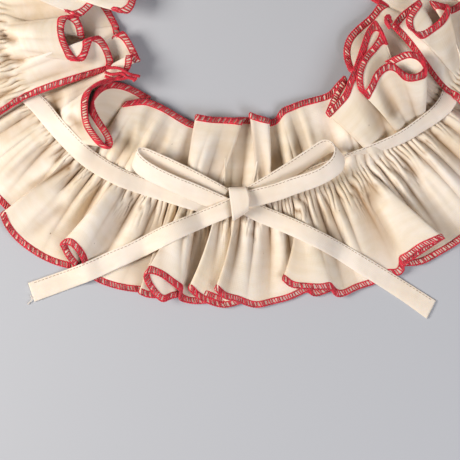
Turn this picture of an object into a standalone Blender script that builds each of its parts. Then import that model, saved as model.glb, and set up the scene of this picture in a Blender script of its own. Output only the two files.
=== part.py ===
"""A detachable gathered collar, laid flat in a ring and tied with a bow at the front.

Two strips of cotton, each gathered along a line, lie in a ring: the front frill under the bow, and
the back frill, whose short ends lie on the front frill at the shoulders. A narrow tie runs along the
gathering line, comes out at both ends of the back frill and is tied over the front frill.
Angles count from the middle of the front, towards the wearer's left hand side (+X), about the neck's
middle. Tables hold millimetres and degrees; the model is in metres.
"""

import math

import bmesh
import bpy
import numpy as np
from mathutils import Vector
from mathutils.bvhtree import BVHTree

MM = 0.001

# Driving sizes of the cloth, in millimetres.
WALL = 1.0
TIE_WIDTH = 10.4
TIE_THICKNESS = 1.2
CLEARANCE = 0.4

# How the tie is laid: its stations' spacing, the samples between two of them and those across it.
BAND_STEP = 6.0
TAIL_STEP = 5.0
LOOP_STEP = 3.5
LAID_SAMPLES = 4
ACROSS_SAMPLES = 7
LOOP_REACH = 0.6

# The gathering line of each frill is half an ellipse about the neck's middle.
FRONT_ROOT_HALF_WIDTH = 112.0
FRONT_ROOT_HALF_DEPTH = 106.0
FRONT_ROOT_SPAN = (-92.0, 92.0)
BACK_ROOT_HALF_WIDTH = 127.0
BACK_ROOT_HALF_DEPTH = 113.0
BACK_ROOT_SPAN = (66.6, 294.5)

# The gathering line by angle: its height, how far the cloth puffs up beside it, and the power of
# the share of the width at which the cloth rises to its edge: small rises early, large rises late.
FRONT_ROOT = (
    (-92.0, 2.6, 0.0, 4.0),
    (-66.0, 2.6, 0.0, 4.0),
    (-58.0, 2.6, 2.0, 1.0),
    (58.0, 2.6, 2.0, 1.0),
    (66.0, 2.6, 0.0, 1.0),
    (70.0, 2.6, 0.0, 4.0),
    (92.0, 2.6, 0.0, 4.0),
)
BACK_ROOT_LOW = 3.0
BACK_ROOT = (
    (66.6, 7.6, 0.0, 1.0),
    (94.0, 7.6, 0.0, 1.0),
    (112.0, BACK_ROOT_LOW, 2.0, 1.0),
    (248.0, BACK_ROOT_LOW, 2.0, 1.0),
    (266.0, 7.6, 0.0, 1.0),
    (294.5, 7.6, 0.0, 1.0),
)

# Turns of an edge from its start to its end. A row with a thickness or a gape is a turn, where
# the edge doubles back: it comes in low and goes out high, and farther in or out by the gape.
# Columns: angle, radius, height, thickness, gape.
FRONT_OUTER = (
    (-92.0, 158.0, 1.2, 0.0, 0.0),
    (-80.0, 164.0, 1.0, 0.0, 0.0),
    (-70.0, 168.0, 1.0, 0.0, 0.0),
    (-56.0, 169.0, 1.0, 0.0, 0.0),
    (-43.6, 168.5, 1.8, 2.6, 0.0),
    (-47.9, 170.9, 6.4, 2.6, 0.0),
    (-42.0, 173.0, 5.4, 0.0, 0.0),
    (-37.0, 171.6, 1.4, 0.0, 0.0),
    (-32.0, 168.1, 2.0, 2.6, 0.0),
    (-36.1, 161.1, 9.5, 6.0, 0.0),
    (-30.9, 164.2, 12.0, 0.0, 0.0),
    (-25.4, 167.8, 6.0, 0.0, 0.0),
    (-20.4, 165.4, 1.4, 0.0, 0.0),
    (-17.4, 163.0, 1.8, 2.4, 0.0),
    (-18.9, 165.3, 4.6, 2.6, 0.0),
    (-15.6, 165.6, 3.6, 0.0, 0.0),
    (-12.8, 163.4, 2.4, 2.6, 0.0),
    (-14.6, 164.9, 6.0, 0.0, 0.0),
    (-18.0, 159.0, 9.6, 4.0, 0.0),
    (-15.3, 154.0, 13.6, 0.0, 0.0),
    (-11.4, 158.0, 11.0, 0.0, 0.0),
    (-9.6, 162.9, 4.0, 0.0, 0.0),
    (-7.6, 163.2, 1.0, 0.0, 0.0),
    (-4.4, 162.7, 2.0, 2.8, 0.0),
    (-7.2, 157.6, 5.2, 3.0, 0.0),
    (-4.4, 161.2, 4.6, 0.0, 0.0),
    (-1.6, 162.5, 2.2, 2.8, 0.0),
    (-3.8, 157.4, 8.2, 3.0, 0.0),
    (0.6, 160.0, 5.6, 0.0, 0.0),
    (4.0, 162.9, 2.4, 0.0, 0.0),
    (9.3, 160.4, 1.2, 0.0, 0.0),
    (16.4, 162.4, 2.0, 2.4, 0.0),
    (9.9, 153.5, 6.6, 4.4, 0.0),
    (14.6, 156.8, 8.4, 0.0, 0.0),
    (18.3, 160.5, 8.0, 0.0, 0.0),
    (19.2, 167.6, 4.4, 0.0, 0.0),
    (21.7, 166.3, 2.4, 0.0, 0.0),
    (23.7, 165.1, 2.0, 0.0, 0.0),
    (26.2, 167.8, 1.8, 0.0, 0.0),
    (30.0, 170.0, 1.8, 0.0, 0.0),
    (32.6, 171.4, 1.8, 0.0, 0.0),
    (33.2, 164.6, 4.4, 0.0, 0.0),
    (36.1, 162.6, 7.4, 0.0, 0.0),
    (38.5, 163.6, 9.4, 0.0, 0.0),
    (41.4, 169.2, 8.6, -3.0, 0.0),
    (35.6, 168.6, 3.2, -3.2, 0.0),
    (39.8, 173.4, 1.0, 0.0, 0.0),
    (46.0, 174.6, 1.0, 0.0, 0.0),
    (56.0, 171.0, 1.0, 0.0, 0.0),
    (68.0, 168.0, 1.0, 0.0, 0.0),
    (80.0, 164.0, 1.0, 0.0, 0.0),
    (92.0, 158.0, 1.2, 0.0, 0.0),
)
FRONT_INNER = (
    (-92.0, 75.0, 1.2, 0.0, 0.0),
    (-88.2, 69.2, 1.4, 0.0, 0.0),
    (-78.7, 66.1, 2.0, 0.0, 0.0),
    (-70.0, 65.0, 3.6, 0.0, 0.0),
    (-61.5, 61.0, 6.6, 0.0, 0.0),
    (-58.6, 67.0, 10.6, 0.0, 0.0),
    (-59.3, 76.8, 14.4, 0.0, 0.0),
    (-60.4, 84.6, 18.0, 0.0, 0.0),
    (-58.4, 94.8, 20.0, 0.0, 0.0),
    (-52.1, 101.6, 20.0, 0.0, 0.0),
    (-42.6, 103.6, 17.0, -5.0, 3.0),
    (-48.0, 96.0, 13.6, 0.0, 0.0),
    (-55.4, 90.4, 12.6, 0.0, 0.0),
    (-56.6, 82.6, 10.4, 0.0, 0.0),
    (-53.4, 75.4, 7.6, 0.0, 0.0),
    (-47.0, 71.6, 4.0, 0.0, 0.0),
    (-40.6, 69.7, 1.4, 0.0, 0.0),
    (-31.5, 67.1, 1.4, 0.0, 0.0),
    (-24.0, 68.8, 3.0, 0.0, 0.0),
    (-18.4, 69.6, 1.6, 0.0, 0.0),
    (-14.6, 65.4, 2.0, 2.6, 0.0),
    (-18.3, 63.7, 6.2, 2.8, 0.0),
    (-9.0, 62.6, 7.2, 0.0, 0.0),
    (0.9, 62.4, 6.0, -2.6, 0.0),
    (-2.8, 61.8, 2.0, -2.4, 0.0),
    (4.0, 61.4, 0.8, 0.0, 0.0),
    (10.8, 62.9, 2.2, 2.4, 0.0),
    (8.1, 59.8, 5.4, 3.0, 0.0),
    (14.8, 64.0, 5.2, -2.6, 0.0),
    (12.4, 64.2, 2.2, -2.4, 0.0),
    (18.5, 66.2, 1.2, 0.0, 0.0),
    (22.5, 62.2, 3.4, 0.0, 0.0),
    (33.8, 63.1, 3.0, 0.0, 0.0),
    (43.0, 67.6, 3.0, 0.0, 0.0),
    (53.0, 69.6, 4.6, 3.2, 0.0),
    (42.4, 75.6, 9.0, 3.2, 0.0),
    (51.4, 77.0, 11.0, 0.0, 0.0),
    (58.6, 79.0, 13.4, 3.2, 0.0),
    (55.6, 84.0, 17.0, 3.0, 0.0),
    (62.6, 86.0, 19.4, 0.0, 0.0),
    (67.6, 93.0, 20.0, 0.0, 0.0),
    (69.0, 102.0, 20.0, 0.0, 0.0),
    (71.6, 104.0, 18.0, -4.0, -4.0),
    (71.0, 94.0, 14.6, 0.0, 0.0),
    (67.0, 84.0, 11.6, 0.0, 0.0),
    (64.0, 74.0, 8.4, 0.0, 0.0),
    (66.0, 68.4, 5.0, 0.0, 0.0),
    (76.0, 69.4, 3.0, 0.0, 0.0),
    (84.0, 72.2, 1.6, 0.0, 0.0),
    (92.0, 77.4, 1.2, 0.0, 0.0),
)
# The back frill's visible ends, and between them the hidden back with one wave after another.
BACK_OUTER_START = (
    (54.6, 174.0, 1.0, 0.0, 0.0),
    (66.0, 177.0, 1.0, 0.0, 0.0),
    (78.0, 178.0, 1.2, 0.0, 0.0),
)
BACK_OUTER_END = (
    (275.0, 178.0, 1.2, 0.0, 0.0),
    (286.0, 177.0, 1.0, 0.0, 0.0),
    (294.4, 174.0, 1.0, 0.0, 0.0),
)
BACK_INNER_START = (
    (81.8, 82.9, 2.0, 0.0, 0.0),
    (84.6, 88.2, 4.0, 0.0, 0.0),
    (83.0, 94.4, 7.0, 0.0, 0.0),
    (83.0, 102.0, 9.4, 0.0, 0.0),
    (87.6, 108.0, 10.0, 0.0, 0.0),
    (94.0, 106.0, 9.0, 0.0, 0.0),
    (99.0, 98.0, 6.0, 0.0, 0.0),
    (104.0, 88.0, 2.0, 0.0, 0.0),
)
BACK_INNER_END = (
    (262.0, 78.0, 2.0, 0.0, 0.0),
    (268.8, 76.6, 2.4, 0.0, 0.0),
    (275.0, 83.0, 2.6, 0.0, 0.0),
    (279.6, 84.6, 4.6, 3.0, 0.0),
    (275.4, 89.8, 8.4, 0.0, 0.0),
    (277.0, 94.8, 9.6, 0.0, 0.0),
    (282.2, 94.6, 9.6, 0.0, 0.0),
    (288.0, 88.6, 7.0, -3.0, -2.0),
    (285.4, 79.4, 3.4, 0.0, 0.0),
    (290.1, 75.3, 2.4, 0.0, 0.0),
    (296.2, 75.8, 2.0, 0.0, 0.0),
)
BACK_WAVES = 22
BACK_WAVE_SPAN = (84.0, 268.0)
BACK_WAVE_HEIGHT = 9.0
BACK_OUTER_RADIUS = 178.0
BACK_INNER_RADIUS = 80.0
BACK_INNER_ROWS = slice(12, -4)

# A wave's rows: shares of the pitch beside its crest, and shares of its height.
WAVE_ROWS = ((-0.28, 0.0), (-0.14, 1.0), (0.14, 1.0), (0.28, 0.0))

# Waves differ in turn: how much they shift, grow and bend, and how fast each of these changes.
WAVE_SHIFT = (0.2, 2.3)
WAVE_GROWTH = (0.25, 1.7)
WAVE_BEND = (2.5, 1.1)

# Rows of the shell, as shares of the strip's width beside the gathering line, and its columns.
INNER_ROWS = (1.0, 0.75, 0.45, 0.18)
OUTER_ROWS = (0.15, 0.38, 0.68, 1.0)
FRONT_COLUMNS = 190
BACK_COLUMNS = 140
GATHER_HEIGHT = 0.5
GATHER_STEEPNESS = 0.3
GATHER_FADING = 3.0

# How cloth runs from the gathering line to an edge: the edge's smoothing in millimetres, the share
# of the way that counts by length alone, the share of columns given to turns, and the power of the
# swing to the side; then the share of the width and the height of the early part of a climb.
EDGE_SMOOTHING = 18.0
SMOOTHING_REACH = 3.0
LEAST_PROGRESS = 0.12
TURN_SHARE = 0.3
MEASURE_SAMPLES = 6000
LATERAL_POWER = 2.0
LAYER_SHARE = 0.5
LOW_CLIMB = 5.0

# Middle lines of the tie's stretches, across the floor plan: x, y.
BAND_LEFT = (
    (-6.5, -109.6),
    (-20.0, -108.0),
    (-41.6, -99.9),
    (-63.2, -92.9),
    (-76.7, -87.5),
    (-90.2, -77.2),
    (-103.7, -64.3),
    (-112.6, -50.5),
    (-119.5, -36.0),
    (-124.5, -18.0),
    (-126.5, 0.0),
    (-125.0, 20.0),
    (-119.0, 40.0),
)
BAND_RIGHT = (
    (15.0, -100.9),
    (30.0, -95.5),
    (58.9, -83.4),
    (74.0, -78.3),
    (88.0, -71.3),
    (101.5, -62.0),
    (112.0, -50.5),
    (119.5, -36.0),
    (124.5, -18.0),
    (126.5, 0.0),
    (125.0, 20.0),
    (119.0, 40.0),
)
TAIL_LEFT = (
    (-6.4, -113.4),
    (-20.5, -117.2),
    (-63.2, -136.6),
    (-87.5, -145.3),
    (-112.0, -156.0),
)
TAIL_RIGHT = (
    (9.2, -113.2),
    (34.0, -122.0),
    (45.9, -128.0),
    (79.4, -149.0),
    (106.6, -166.3),
)
# The bow's loops, from the knot along the lower layer to the tip and back: x, y, height above the
# cloth below.
LOOP_LEFT = (
    (-5.6, -104.0, 0.0),
    (-30.0, -92.0, 0.6),
    (-47.0, -84.0, 2.4),
    (-54.4, -82.6, 5.0),
    (-50.0, -87.0, 7.6),
    (-34.0, -96.4, 6.0),
    (-5.8, -108.6, 2.6),
)
LOOP_RIGHT = (
    (7.8, -101.6, 0.0),
    (24.0, -91.0, 0.8),
    (46.0, -80.0, 3.4),
    (57.6, -79.4, 6.4),
    (52.0, -87.6, 9.0),
    (36.0, -97.0, 6.4),
    (8.4, -105.0, 2.8),
)
# The tie's hidden stretch lies flat under the back frill, from one band's end round to the other's.
TIE_BACK_SPAN = (109.5, 250.5)
TIE_BACK_STATIONS = 72
# The knot: a rounded block that the tie's stretches meet.
KNOT_MIDDLE = (1.2, -106.8)
KNOT_HALF_WIDTH = 5.7
KNOT_HALF_LENGTH = 8.0
KNOT_TURN = 8.0
KNOT_ROUNDING = 1.8
KNOT_ROUNDING_STEPS = 3
KNOT_GAP = 0.3
KNOT_REACH = 11.0
KNOT_SPARE_HEIGHT = 0.8
KNOT_SAMPLES = (7, 9)

# The cotton's colour, as red, green and blue shares of linear light, and its dullness.
COTTON = (0.807, 0.723, 0.591, 1.0)
COTTON_ROUGHNESS = 0.9


def corner_cut(points, rounds=4):
    """Smooth curve through a control polygon: each round cuts every corner at a quarter."""
    for _ in range(rounds):
        first = 0.75 * points[:-1] + 0.25 * points[1:]
        second = 0.25 * points[:-1] + 0.75 * points[1:]
        inside = np.stack([first, second], axis=1).reshape(-1, points.shape[1])
        points = np.vstack([points[:1], inside, points[-1:]])
    return points


def arc_length(points):
    """Distance along a polyline from its first point to each of its points."""
    steps = np.linalg.norm(np.diff(points, axis=0), axis=1)
    return np.concatenate([[0.0], np.cumsum(steps)])


def even_spacing(points, count):
    """The same polyline with evenly spaced points."""
    travelled = arc_length(points)
    wanted = np.linspace(0.0, travelled[-1], count)
    return np.stack([np.interp(wanted, travelled, column) for column in points.T], axis=1)


def ellipse_radius(angle, half_width, half_depth):
    """Distance from the neck's middle to an ellipse about it, at an angle in radians."""
    return 1.0 / np.hypot(np.sin(angle) / half_width, np.cos(angle) / half_depth)


def edge_curve(turns, base):
    """Middle line of an edge from its table of turns, standing on a base height by angle."""
    points = []
    for angle, radius, height, thickness, gape in turns:
        turn = math.radians(angle)
        lift = np.interp(angle, base[0], base[1])
        sides = (-0.5, 0.5) if thickness or gape else (0.0,)
        for side in sides:
            reach = radius + side * gape
            level = height + side * thickness + lift
            points.append((reach * math.sin(turn), -reach * math.cos(turn), level))
    smooth = corner_cut(np.array(points))
    return even_spacing(smooth, int(arc_length(smooth)[-1]))


def edge_progress(curve):
    """Share of the gathering line used up at each point of an edge.

    It is the edge's angle about the neck, smoothed along the edge until its folds no longer turn
    back, so that the cloth runs straight out from the gathers.
    """
    angle = np.unwrap(np.arctan2(curve[:, 0], -curve[:, 1]))
    reach = int(SMOOTHING_REACH * EDGE_SMOOTHING)
    weights = np.exp(-0.5 * (np.arange(-reach, reach + 1) / EDGE_SMOOTHING) ** 2)
    padded = np.pad(angle, reach, mode="reflect", reflect_type="odd")
    smooth = np.convolve(padded, weights / weights.sum(), mode="valid")
    travelled = np.linspace(0.0, 1.0, len(curve))
    rising = np.maximum.accumulate(smooth) + LEAST_PROGRESS * (smooth[-1] - smooth[0]) * travelled
    return (rising - rising[0]) / (rising[-1] - rising[0])


def column_places(curves, progresses, count):
    """Shares of the gathering line for the shell's columns, closer together where an edge turns."""
    fine = np.linspace(0.0, 1.0, MEASURE_SAMPLES)
    measure = (1.0 - TURN_SHARE) * fine
    for curve, progress in zip(curves, progresses):
        steps = np.diff(curve, axis=0)
        steps /= np.linalg.norm(steps, axis=1)[:, None]
        turning = np.arccos(np.clip((steps[1:] * steps[:-1]).sum(axis=1), -1.0, 1.0))
        total = np.concatenate([[0.0], np.cumsum(turning), [turning.sum()]])
        measure = measure + 0.5 * TURN_SHARE * np.interp(fine, progress, total / total[-1])
    return np.interp(np.linspace(0.0, 1.0, count), measure, fine)


def at_progress(curve, progress, places):
    """Points of an edge at the given shares of the gathering line."""
    return np.stack([np.interp(places, progress, column) for column in curve.T], axis=1)


def frill_rows(outer, inner, half_width, half_depth, span, root_table, count):
    """Rows of points across a frill, from its inner edge over the gathering line to its outer edge."""
    columns = column_places((outer, inner), (edge_progress(outer), edge_progress(inner)), count)
    angle = np.radians(span[0] + (span[1] - span[0]) * columns)
    radius = ellipse_radius(angle, half_width, half_depth)
    root_angles, *root_columns = np.array(root_table).T
    height, puff, late = (np.interp(np.degrees(angle), root_angles, column) for column in root_columns)
    gaps = np.diff(angle) * radius[1:]
    spacing = np.minimum(np.append(gaps, gaps[-1]), np.insert(gaps, 0, gaps[0]))
    ups_and_downs = np.where(np.arange(len(columns)) % 2, 1.0, -1.0)
    gathers = np.minimum(GATHER_HEIGHT, GATHER_STEEPNESS * spacing) * ups_and_downs
    rows = []
    for shares, edge in ((INNER_ROWS, inner), ((0.0,) + OUTER_ROWS, outer)):
        tip = at_progress(edge, edge_progress(edge), columns)
        tip_angle = np.arctan2(tip[:, 0], -tip[:, 1])
        swing = (tip_angle - angle + math.pi) % (2.0 * math.pi) - math.pi
        tip_radius = np.hypot(tip[:, 0], tip[:, 1])
        for share in shares:
            turn = angle + swing * share ** LATERAL_POWER
            reach = radius + (tip_radius - radius) * share
            early = np.where(late > 1.0, share ** late, min(1.0, share / LAYER_SHARE) ** late)
            bulge = puff * math.sin(math.pi * share) if 0.0 < share < 1.0 else 0.0
            climb = tip[:, 2] - height
            low = np.minimum(climb, LOW_CLIMB)
            folds = gathers * max(0.0, 1.0 - GATHER_FADING * share)
            tall = height + low * early + (climb - low) * share + bulge + folds
            tall = np.maximum(tall, 0.5 * WALL)
            rows.append(np.stack([reach * np.sin(turn), -reach * np.cos(turn), tall], axis=1))
    return np.array(rows)


def shell_mesh(name, rows):
    """A closed shell of even thickness about a grid of middle points given in millimetres."""
    along = np.gradient(rows, axis=1)
    across = np.gradient(rows, axis=0)
    normals = np.cross(along, across)
    normals /= np.linalg.norm(normals, axis=2)[:, :, None]
    row_count, column_count = rows.shape[:2]
    half = 0.5 * WALL * normals
    vertices = np.concatenate([rows + half, rows - half]).reshape(-1, 3)
    vertices[:, 2] = np.maximum(vertices[:, 2], 0.0)
    grid = np.arange(2 * row_count * column_count).reshape(2, row_count, column_count)
    faces = []
    for side, order in ((grid[0], 1), (grid[1], -1)):
        quads = np.stack([side[:-1, :-1], side[:-1, 1:], side[1:, 1:], side[1:, :-1]], axis=-1)
        faces.append(quads.reshape(-1, 4)[:, ::order])
    loops = [
        np.concatenate([side[0, :-1], side[:-1, -1], side[-1, :0:-1], side[:0:-1, 0]])
        for side in grid
    ]
    rim = np.stack([loops[0], loops[1], np.roll(loops[1], -1), np.roll(loops[0], -1)], axis=-1)
    faces.append(rim)
    return new_object(name, vertices, np.concatenate(faces))


def new_object(name, vertices, faces):
    """A mesh object with its faces pointing out and its own cotton material."""
    mesh = bpy.data.meshes.new(name)
    mesh.from_pydata((vertices * MM).tolist(), [], faces.tolist())
    work = bmesh.new()
    work.from_mesh(mesh)
    bmesh.ops.triangulate(work, faces=work.faces)
    bmesh.ops.recalc_face_normals(work, faces=work.faces)
    work.to_mesh(mesh)
    work.free()
    thing = bpy.data.objects.new(name, mesh)
    bpy.context.collection.objects.link(thing)
    thing.data.materials.append(cotton(name))
    return thing


def cotton(name):
    """Unbleached cotton, dull and slightly rough."""
    material = bpy.data.materials.new("cotton_" + name)
    material.use_nodes = True
    shader = material.node_tree.nodes["Principled BSDF"]
    shader.inputs["Base Color"].default_value = COTTON
    shader.inputs["Roughness"].default_value = COTTON_ROUGHNESS
    material.diffuse_color = COTTON
    return material


def surface_tree(things):
    """A search tree over the triangles of finished pieces, in metres."""
    vertices = []
    faces = []
    for thing in things:
        start = len(vertices)
        vertices += [thing.matrix_world @ vertex.co for vertex in thing.data.vertices]
        faces += [[start + index for index in face.vertices] for face in thing.data.polygons]
    return BVHTree.FromPolygons(vertices, faces)


def top_height(tree, x, y):
    """Height in millimetres of the highest surface at a place, or the floor's."""
    hit = tree.ray_cast(Vector((x * MM, y * MM, 1.0)), Vector((0.0, 0.0, -1.0)))[0]
    return hit.z / MM if hit else 0.0


def across_path(path):
    """Unit vectors across a plan path, level with the floor, along its smoothed direction."""
    along = np.gradient(path[:, :2], axis=0)
    along /= np.linalg.norm(along, axis=1)[:, None]
    return np.stack([-along[:, 1], along[:, 0], np.zeros(len(path))], axis=1)


def spread(values, reach, pick):
    """Each value replaced by the greatest or the mean of its neighbours."""
    padded = np.pad(values, reach, mode="edge")
    windows = np.lib.stride_tricks.sliding_window_view(padded, 2 * reach + 1)
    return pick(windows, axis=1)


def laid_path(plan, tree, step):
    """A tie's middle line laid on the pieces below it, from its points in plan."""
    smooth = corner_cut(np.array(plan))
    count = LAID_SAMPLES * int(arc_length(smooth)[-1] / step) + 1
    path = even_spacing(smooth, count)
    across = across_path(path)
    offsets = np.linspace(-0.5 * TIE_WIDTH, 0.5 * TIE_WIDTH, ACROSS_SAMPLES)
    tops = np.array([
        max(top_height(tree, *(place[:2] + offset * side[:2])) for offset in offsets)
        for place, side in zip(path, across)
    ])
    tops = spread(spread(tops, LAID_SAMPLES + 1, np.max), LAID_SAMPLES - 1, np.mean)
    laid = np.column_stack([path[:, :2], tops + CLEARANCE + 0.5 * TIE_THICKNESS])
    return laid[::LAID_SAMPLES], across[::LAID_SAMPLES]


def meet_knot(corners, along):
    """Slides the corners at a band's end along the band until they stand just off the knot's side."""
    turn = math.radians(KNOT_TURN)
    facing = np.array([math.cos(turn), math.sin(turn), 0.0])
    wanted = np.sign(corners[0, 0] - KNOT_MIDDLE[0]) * (KNOT_HALF_WIDTH + KNOT_GAP)
    distance = (corners[:, :2] - np.array(KNOT_MIDDLE)) @ facing[:2]
    return corners + ((wanted - distance) / (along @ facing))[:, None] * along


def ribbon_mesh(name, path, across):
    """A closed flat band swept along a middle line, each end near the knot cut to the knot's side."""
    along = np.gradient(path, axis=0)
    normals = np.cross(along, across)
    normals /= np.linalg.norm(normals, axis=1)[:, None]
    corners = ((-1.0, -1.0), (1.0, -1.0), (1.0, 1.0), (-1.0, 1.0))
    rings = [
        path + 0.5 * TIE_WIDTH * side * across + 0.5 * TIE_THICKNESS * level * normals
        for side, level in corners
    ]
    stations = np.stack(rings, axis=1)
    for end in (0, -1):
        if np.linalg.norm(path[end, :2] - np.array(KNOT_MIDDLE)) < KNOT_REACH:
            level = along[end] * np.array([1.0, 1.0, 0.0])
            stations[end] = meet_knot(stations[end], level / np.linalg.norm(level))
    vertices = stations.reshape(-1, 3)
    ring = np.arange(len(vertices)).reshape(-1, 4)
    after = np.roll(ring, -1, axis=1)
    sides = np.stack([ring[:-1], after[:-1], after[1:], ring[1:]], axis=-1).reshape(-1, 4)
    return new_object(name, vertices, np.concatenate([sides, ring[:1], ring[-1:]]))


def loop_path(stations, tree):
    """A bow loop's middle line: its points stand a given height above the highest cloth below it.

    Returns the line and the unit vectors across it, which keep one direction so that the band
    turns over at the tip like a hairpin.
    """
    plan = np.array(stations)
    start, tip = plan[0, :2], plan[len(plan) // 2, :2]
    along = (tip - start) / np.linalg.norm(tip - start)
    across = np.array([-along[1], along[0], 0.0])
    around = np.linspace(-LOOP_REACH * TIE_WIDTH, LOOP_REACH * TIE_WIDTH, ACROSS_SAMPLES)
    for point in plan:
        floor = max(top_height(tree, point[0] + x, point[1] + y) for x in around for y in around)
        point[2] += floor + CLEARANCE + 0.5 * TIE_THICKNESS
    smooth = corner_cut(plan)
    path = even_spacing(smooth, int(arc_length(smooth)[-1] / LOOP_STEP))
    return path, np.tile(across, (len(path), 1))


def knot_block(bottom, top):
    """The bow's knot: a block with every edge and corner rounded, turned with the tie around it."""
    work = bmesh.new()
    bmesh.ops.create_cube(work, size=2.0)
    size = Vector((KNOT_HALF_WIDTH, KNOT_HALF_LENGTH, 0.5 * (top - bottom))) * MM
    bmesh.ops.scale(work, vec=size, verts=work.verts)
    bmesh.ops.bevel(
        work,
        geom=work.edges,
        offset=KNOT_ROUNDING * MM,
        segments=KNOT_ROUNDING_STEPS,
        affect="EDGES",
    )
    bmesh.ops.triangulate(work, faces=work.faces)
    mesh = bpy.data.meshes.new("bow_knot")
    work.to_mesh(mesh)
    work.free()
    mesh.shade_smooth()
    mesh.materials.append(cotton("bow_knot"))
    knot = bpy.data.objects.new("bow_knot", mesh)
    knot.location = Vector((*KNOT_MIDDLE, 0.5 * (top + bottom))) * MM
    knot.rotation_euler.z = math.radians(KNOT_TURN)
    bpy.context.collection.objects.link(knot)
    return knot


def tie_back_path():
    """The tie's hidden stretch: an even arc under the back frill's gathering line, on the floor."""
    angle = np.radians(np.linspace(*TIE_BACK_SPAN, TIE_BACK_STATIONS))
    radius = ellipse_radius(angle, BACK_ROOT_HALF_WIDTH, BACK_ROOT_HALF_DEPTH)
    level = np.full(len(angle), 0.5 * TIE_THICKNESS)
    path = np.stack([radius * np.sin(angle), -radius * np.cos(angle), level], axis=1)
    return path, across_path(path)


def stand_on_origin():
    """Moves every piece alike, so that the origin lies under the middle of the collar's outline."""
    bpy.context.view_layer.update()
    corners = [
        thing.matrix_world @ Vector(corner)
        for thing in bpy.data.objects
        for corner in thing.bound_box
    ]
    lowest = Vector(min(corner[axis] for corner in corners) for axis in range(3))
    highest = Vector(max(corner[axis] for corner in corners) for axis in range(3))
    middle = 0.5 * (lowest + highest)
    for thing in bpy.data.objects:
        thing.location -= Vector((middle.x, middle.y, lowest.z))


def back_wave_rows(radius, phase):
    """Turns of the hidden back's waves, evenly spread, each a little unlike the last."""
    rows = []
    pitch = (BACK_WAVE_SPAN[1] - BACK_WAVE_SPAN[0]) / BACK_WAVES
    for wave in range(BACK_WAVES):
        shift = WAVE_SHIFT[0] * math.sin(WAVE_SHIFT[1] * wave + phase)
        growth = WAVE_GROWTH[0] * math.sin(WAVE_GROWTH[1] * wave + 2.0 * phase)
        bend = WAVE_BEND[0] * math.sin(WAVE_BEND[1] * wave + phase)
        crest = BACK_WAVE_SPAN[0] + (wave + 0.5 + shift) * pitch
        height = BACK_WAVE_HEIGHT * (1.0 + growth)
        for beside, level in WAVE_ROWS:
            rows.append((crest + beside * pitch, radius + bend, level * height, 0.0, 0.0))
    return tuple(rows)


def main():
    """Builds the frills first, then each stretch of the tie on top of what it lies on."""
    for thing in list(bpy.data.objects):
        bpy.data.objects.remove(thing, do_unlink=True)
    level = ((-180.0, 360.0), (0.0, 0.0))
    front = frill_rows(
        edge_curve(FRONT_OUTER, level),
        edge_curve(FRONT_INNER, level),
        FRONT_ROOT_HALF_WIDTH,
        FRONT_ROOT_HALF_DEPTH,
        FRONT_ROOT_SPAN,
        FRONT_ROOT,
        FRONT_COLUMNS,
    )
    frill_front = shell_mesh("frill_front", front)
    raised = ([row[0] for row in BACK_ROOT], [row[1] - BACK_ROOT_LOW for row in BACK_ROOT])
    back_outer = BACK_OUTER_START + back_wave_rows(BACK_OUTER_RADIUS, 0.0) + BACK_OUTER_END
    inner_waves = back_wave_rows(BACK_INNER_RADIUS, 1.0)[BACK_INNER_ROWS]
    back_inner = BACK_INNER_START + inner_waves + BACK_INNER_END
    back = frill_rows(
        edge_curve(back_outer, raised),
        edge_curve(back_inner, raised),
        BACK_ROOT_HALF_WIDTH,
        BACK_ROOT_HALF_DEPTH,
        BACK_ROOT_SPAN,
        BACK_ROOT,
        BACK_COLUMNS,
    )
    shell_mesh("frill_back", back)
    cloth = [frill_front]
    for name, plan in (("tie_band_left", BAND_LEFT), ("tie_band_right", BAND_RIGHT)):
        cloth.append(ribbon_mesh(name, *laid_path(plan, surface_tree([frill_front]), BAND_STEP)))
    for name, plan in (("tie_tail_left", TAIL_LEFT), ("tie_tail_right", TAIL_RIGHT)):
        cloth.append(ribbon_mesh(name, *laid_path(plan, surface_tree(cloth[:3]), TAIL_STEP)))
    below = surface_tree(cloth)
    loops = [
        ribbon_mesh(name, *loop_path(stations, below))
        for name, stations in (("bow_loop_left", LOOP_LEFT), ("bow_loop_right", LOOP_RIGHT))
    ]
    around = surface_tree([frill_front])
    bottom = CLEARANCE + max(
        top_height(around, KNOT_MIDDLE[0] + x, KNOT_MIDDLE[1] + y)
        for x in np.linspace(-KNOT_HALF_WIDTH, KNOT_HALF_WIDTH, KNOT_SAMPLES[0])
        for y in np.linspace(-KNOT_HALF_LENGTH, KNOT_HALF_LENGTH, KNOT_SAMPLES[1])
    )
    top = KNOT_SPARE_HEIGHT + max(
        vertex.co.z / MM
        for thing in loops
        for vertex in thing.data.vertices
        if (vertex.co.xy / MM - Vector(KNOT_MIDDLE)).length < 2.0 * KNOT_HALF_LENGTH
    )
    knot_block(bottom, top)
    ribbon_mesh("tie_back", *tie_back_path())
    stand_on_origin()


main()
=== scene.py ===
"""Looks of a detachable gathered cotton collar, laid flat in a ring and bowed at the front.

Two strips of unbleached cotton, each gathered along a line, lie in a ring. Their raw edges are
overlocked in red. A narrow folded tie runs along the gathers and is bowed at centre front.
Lines of the cloth are tables on a plan: x to the right and y down in plan units, as an eye straight
above the front sees them on the floor, with heights in millimetres. Lengths inside the classes are
millimetres about the neck's middle, and meshes are in metres in the part's own frame.
"""

import logging
import math
from dataclasses import dataclass, field
from enum import Enum

import bpy
import numpy as np
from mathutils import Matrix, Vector
from mathutils.bvhtree import BVHTree


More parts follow.
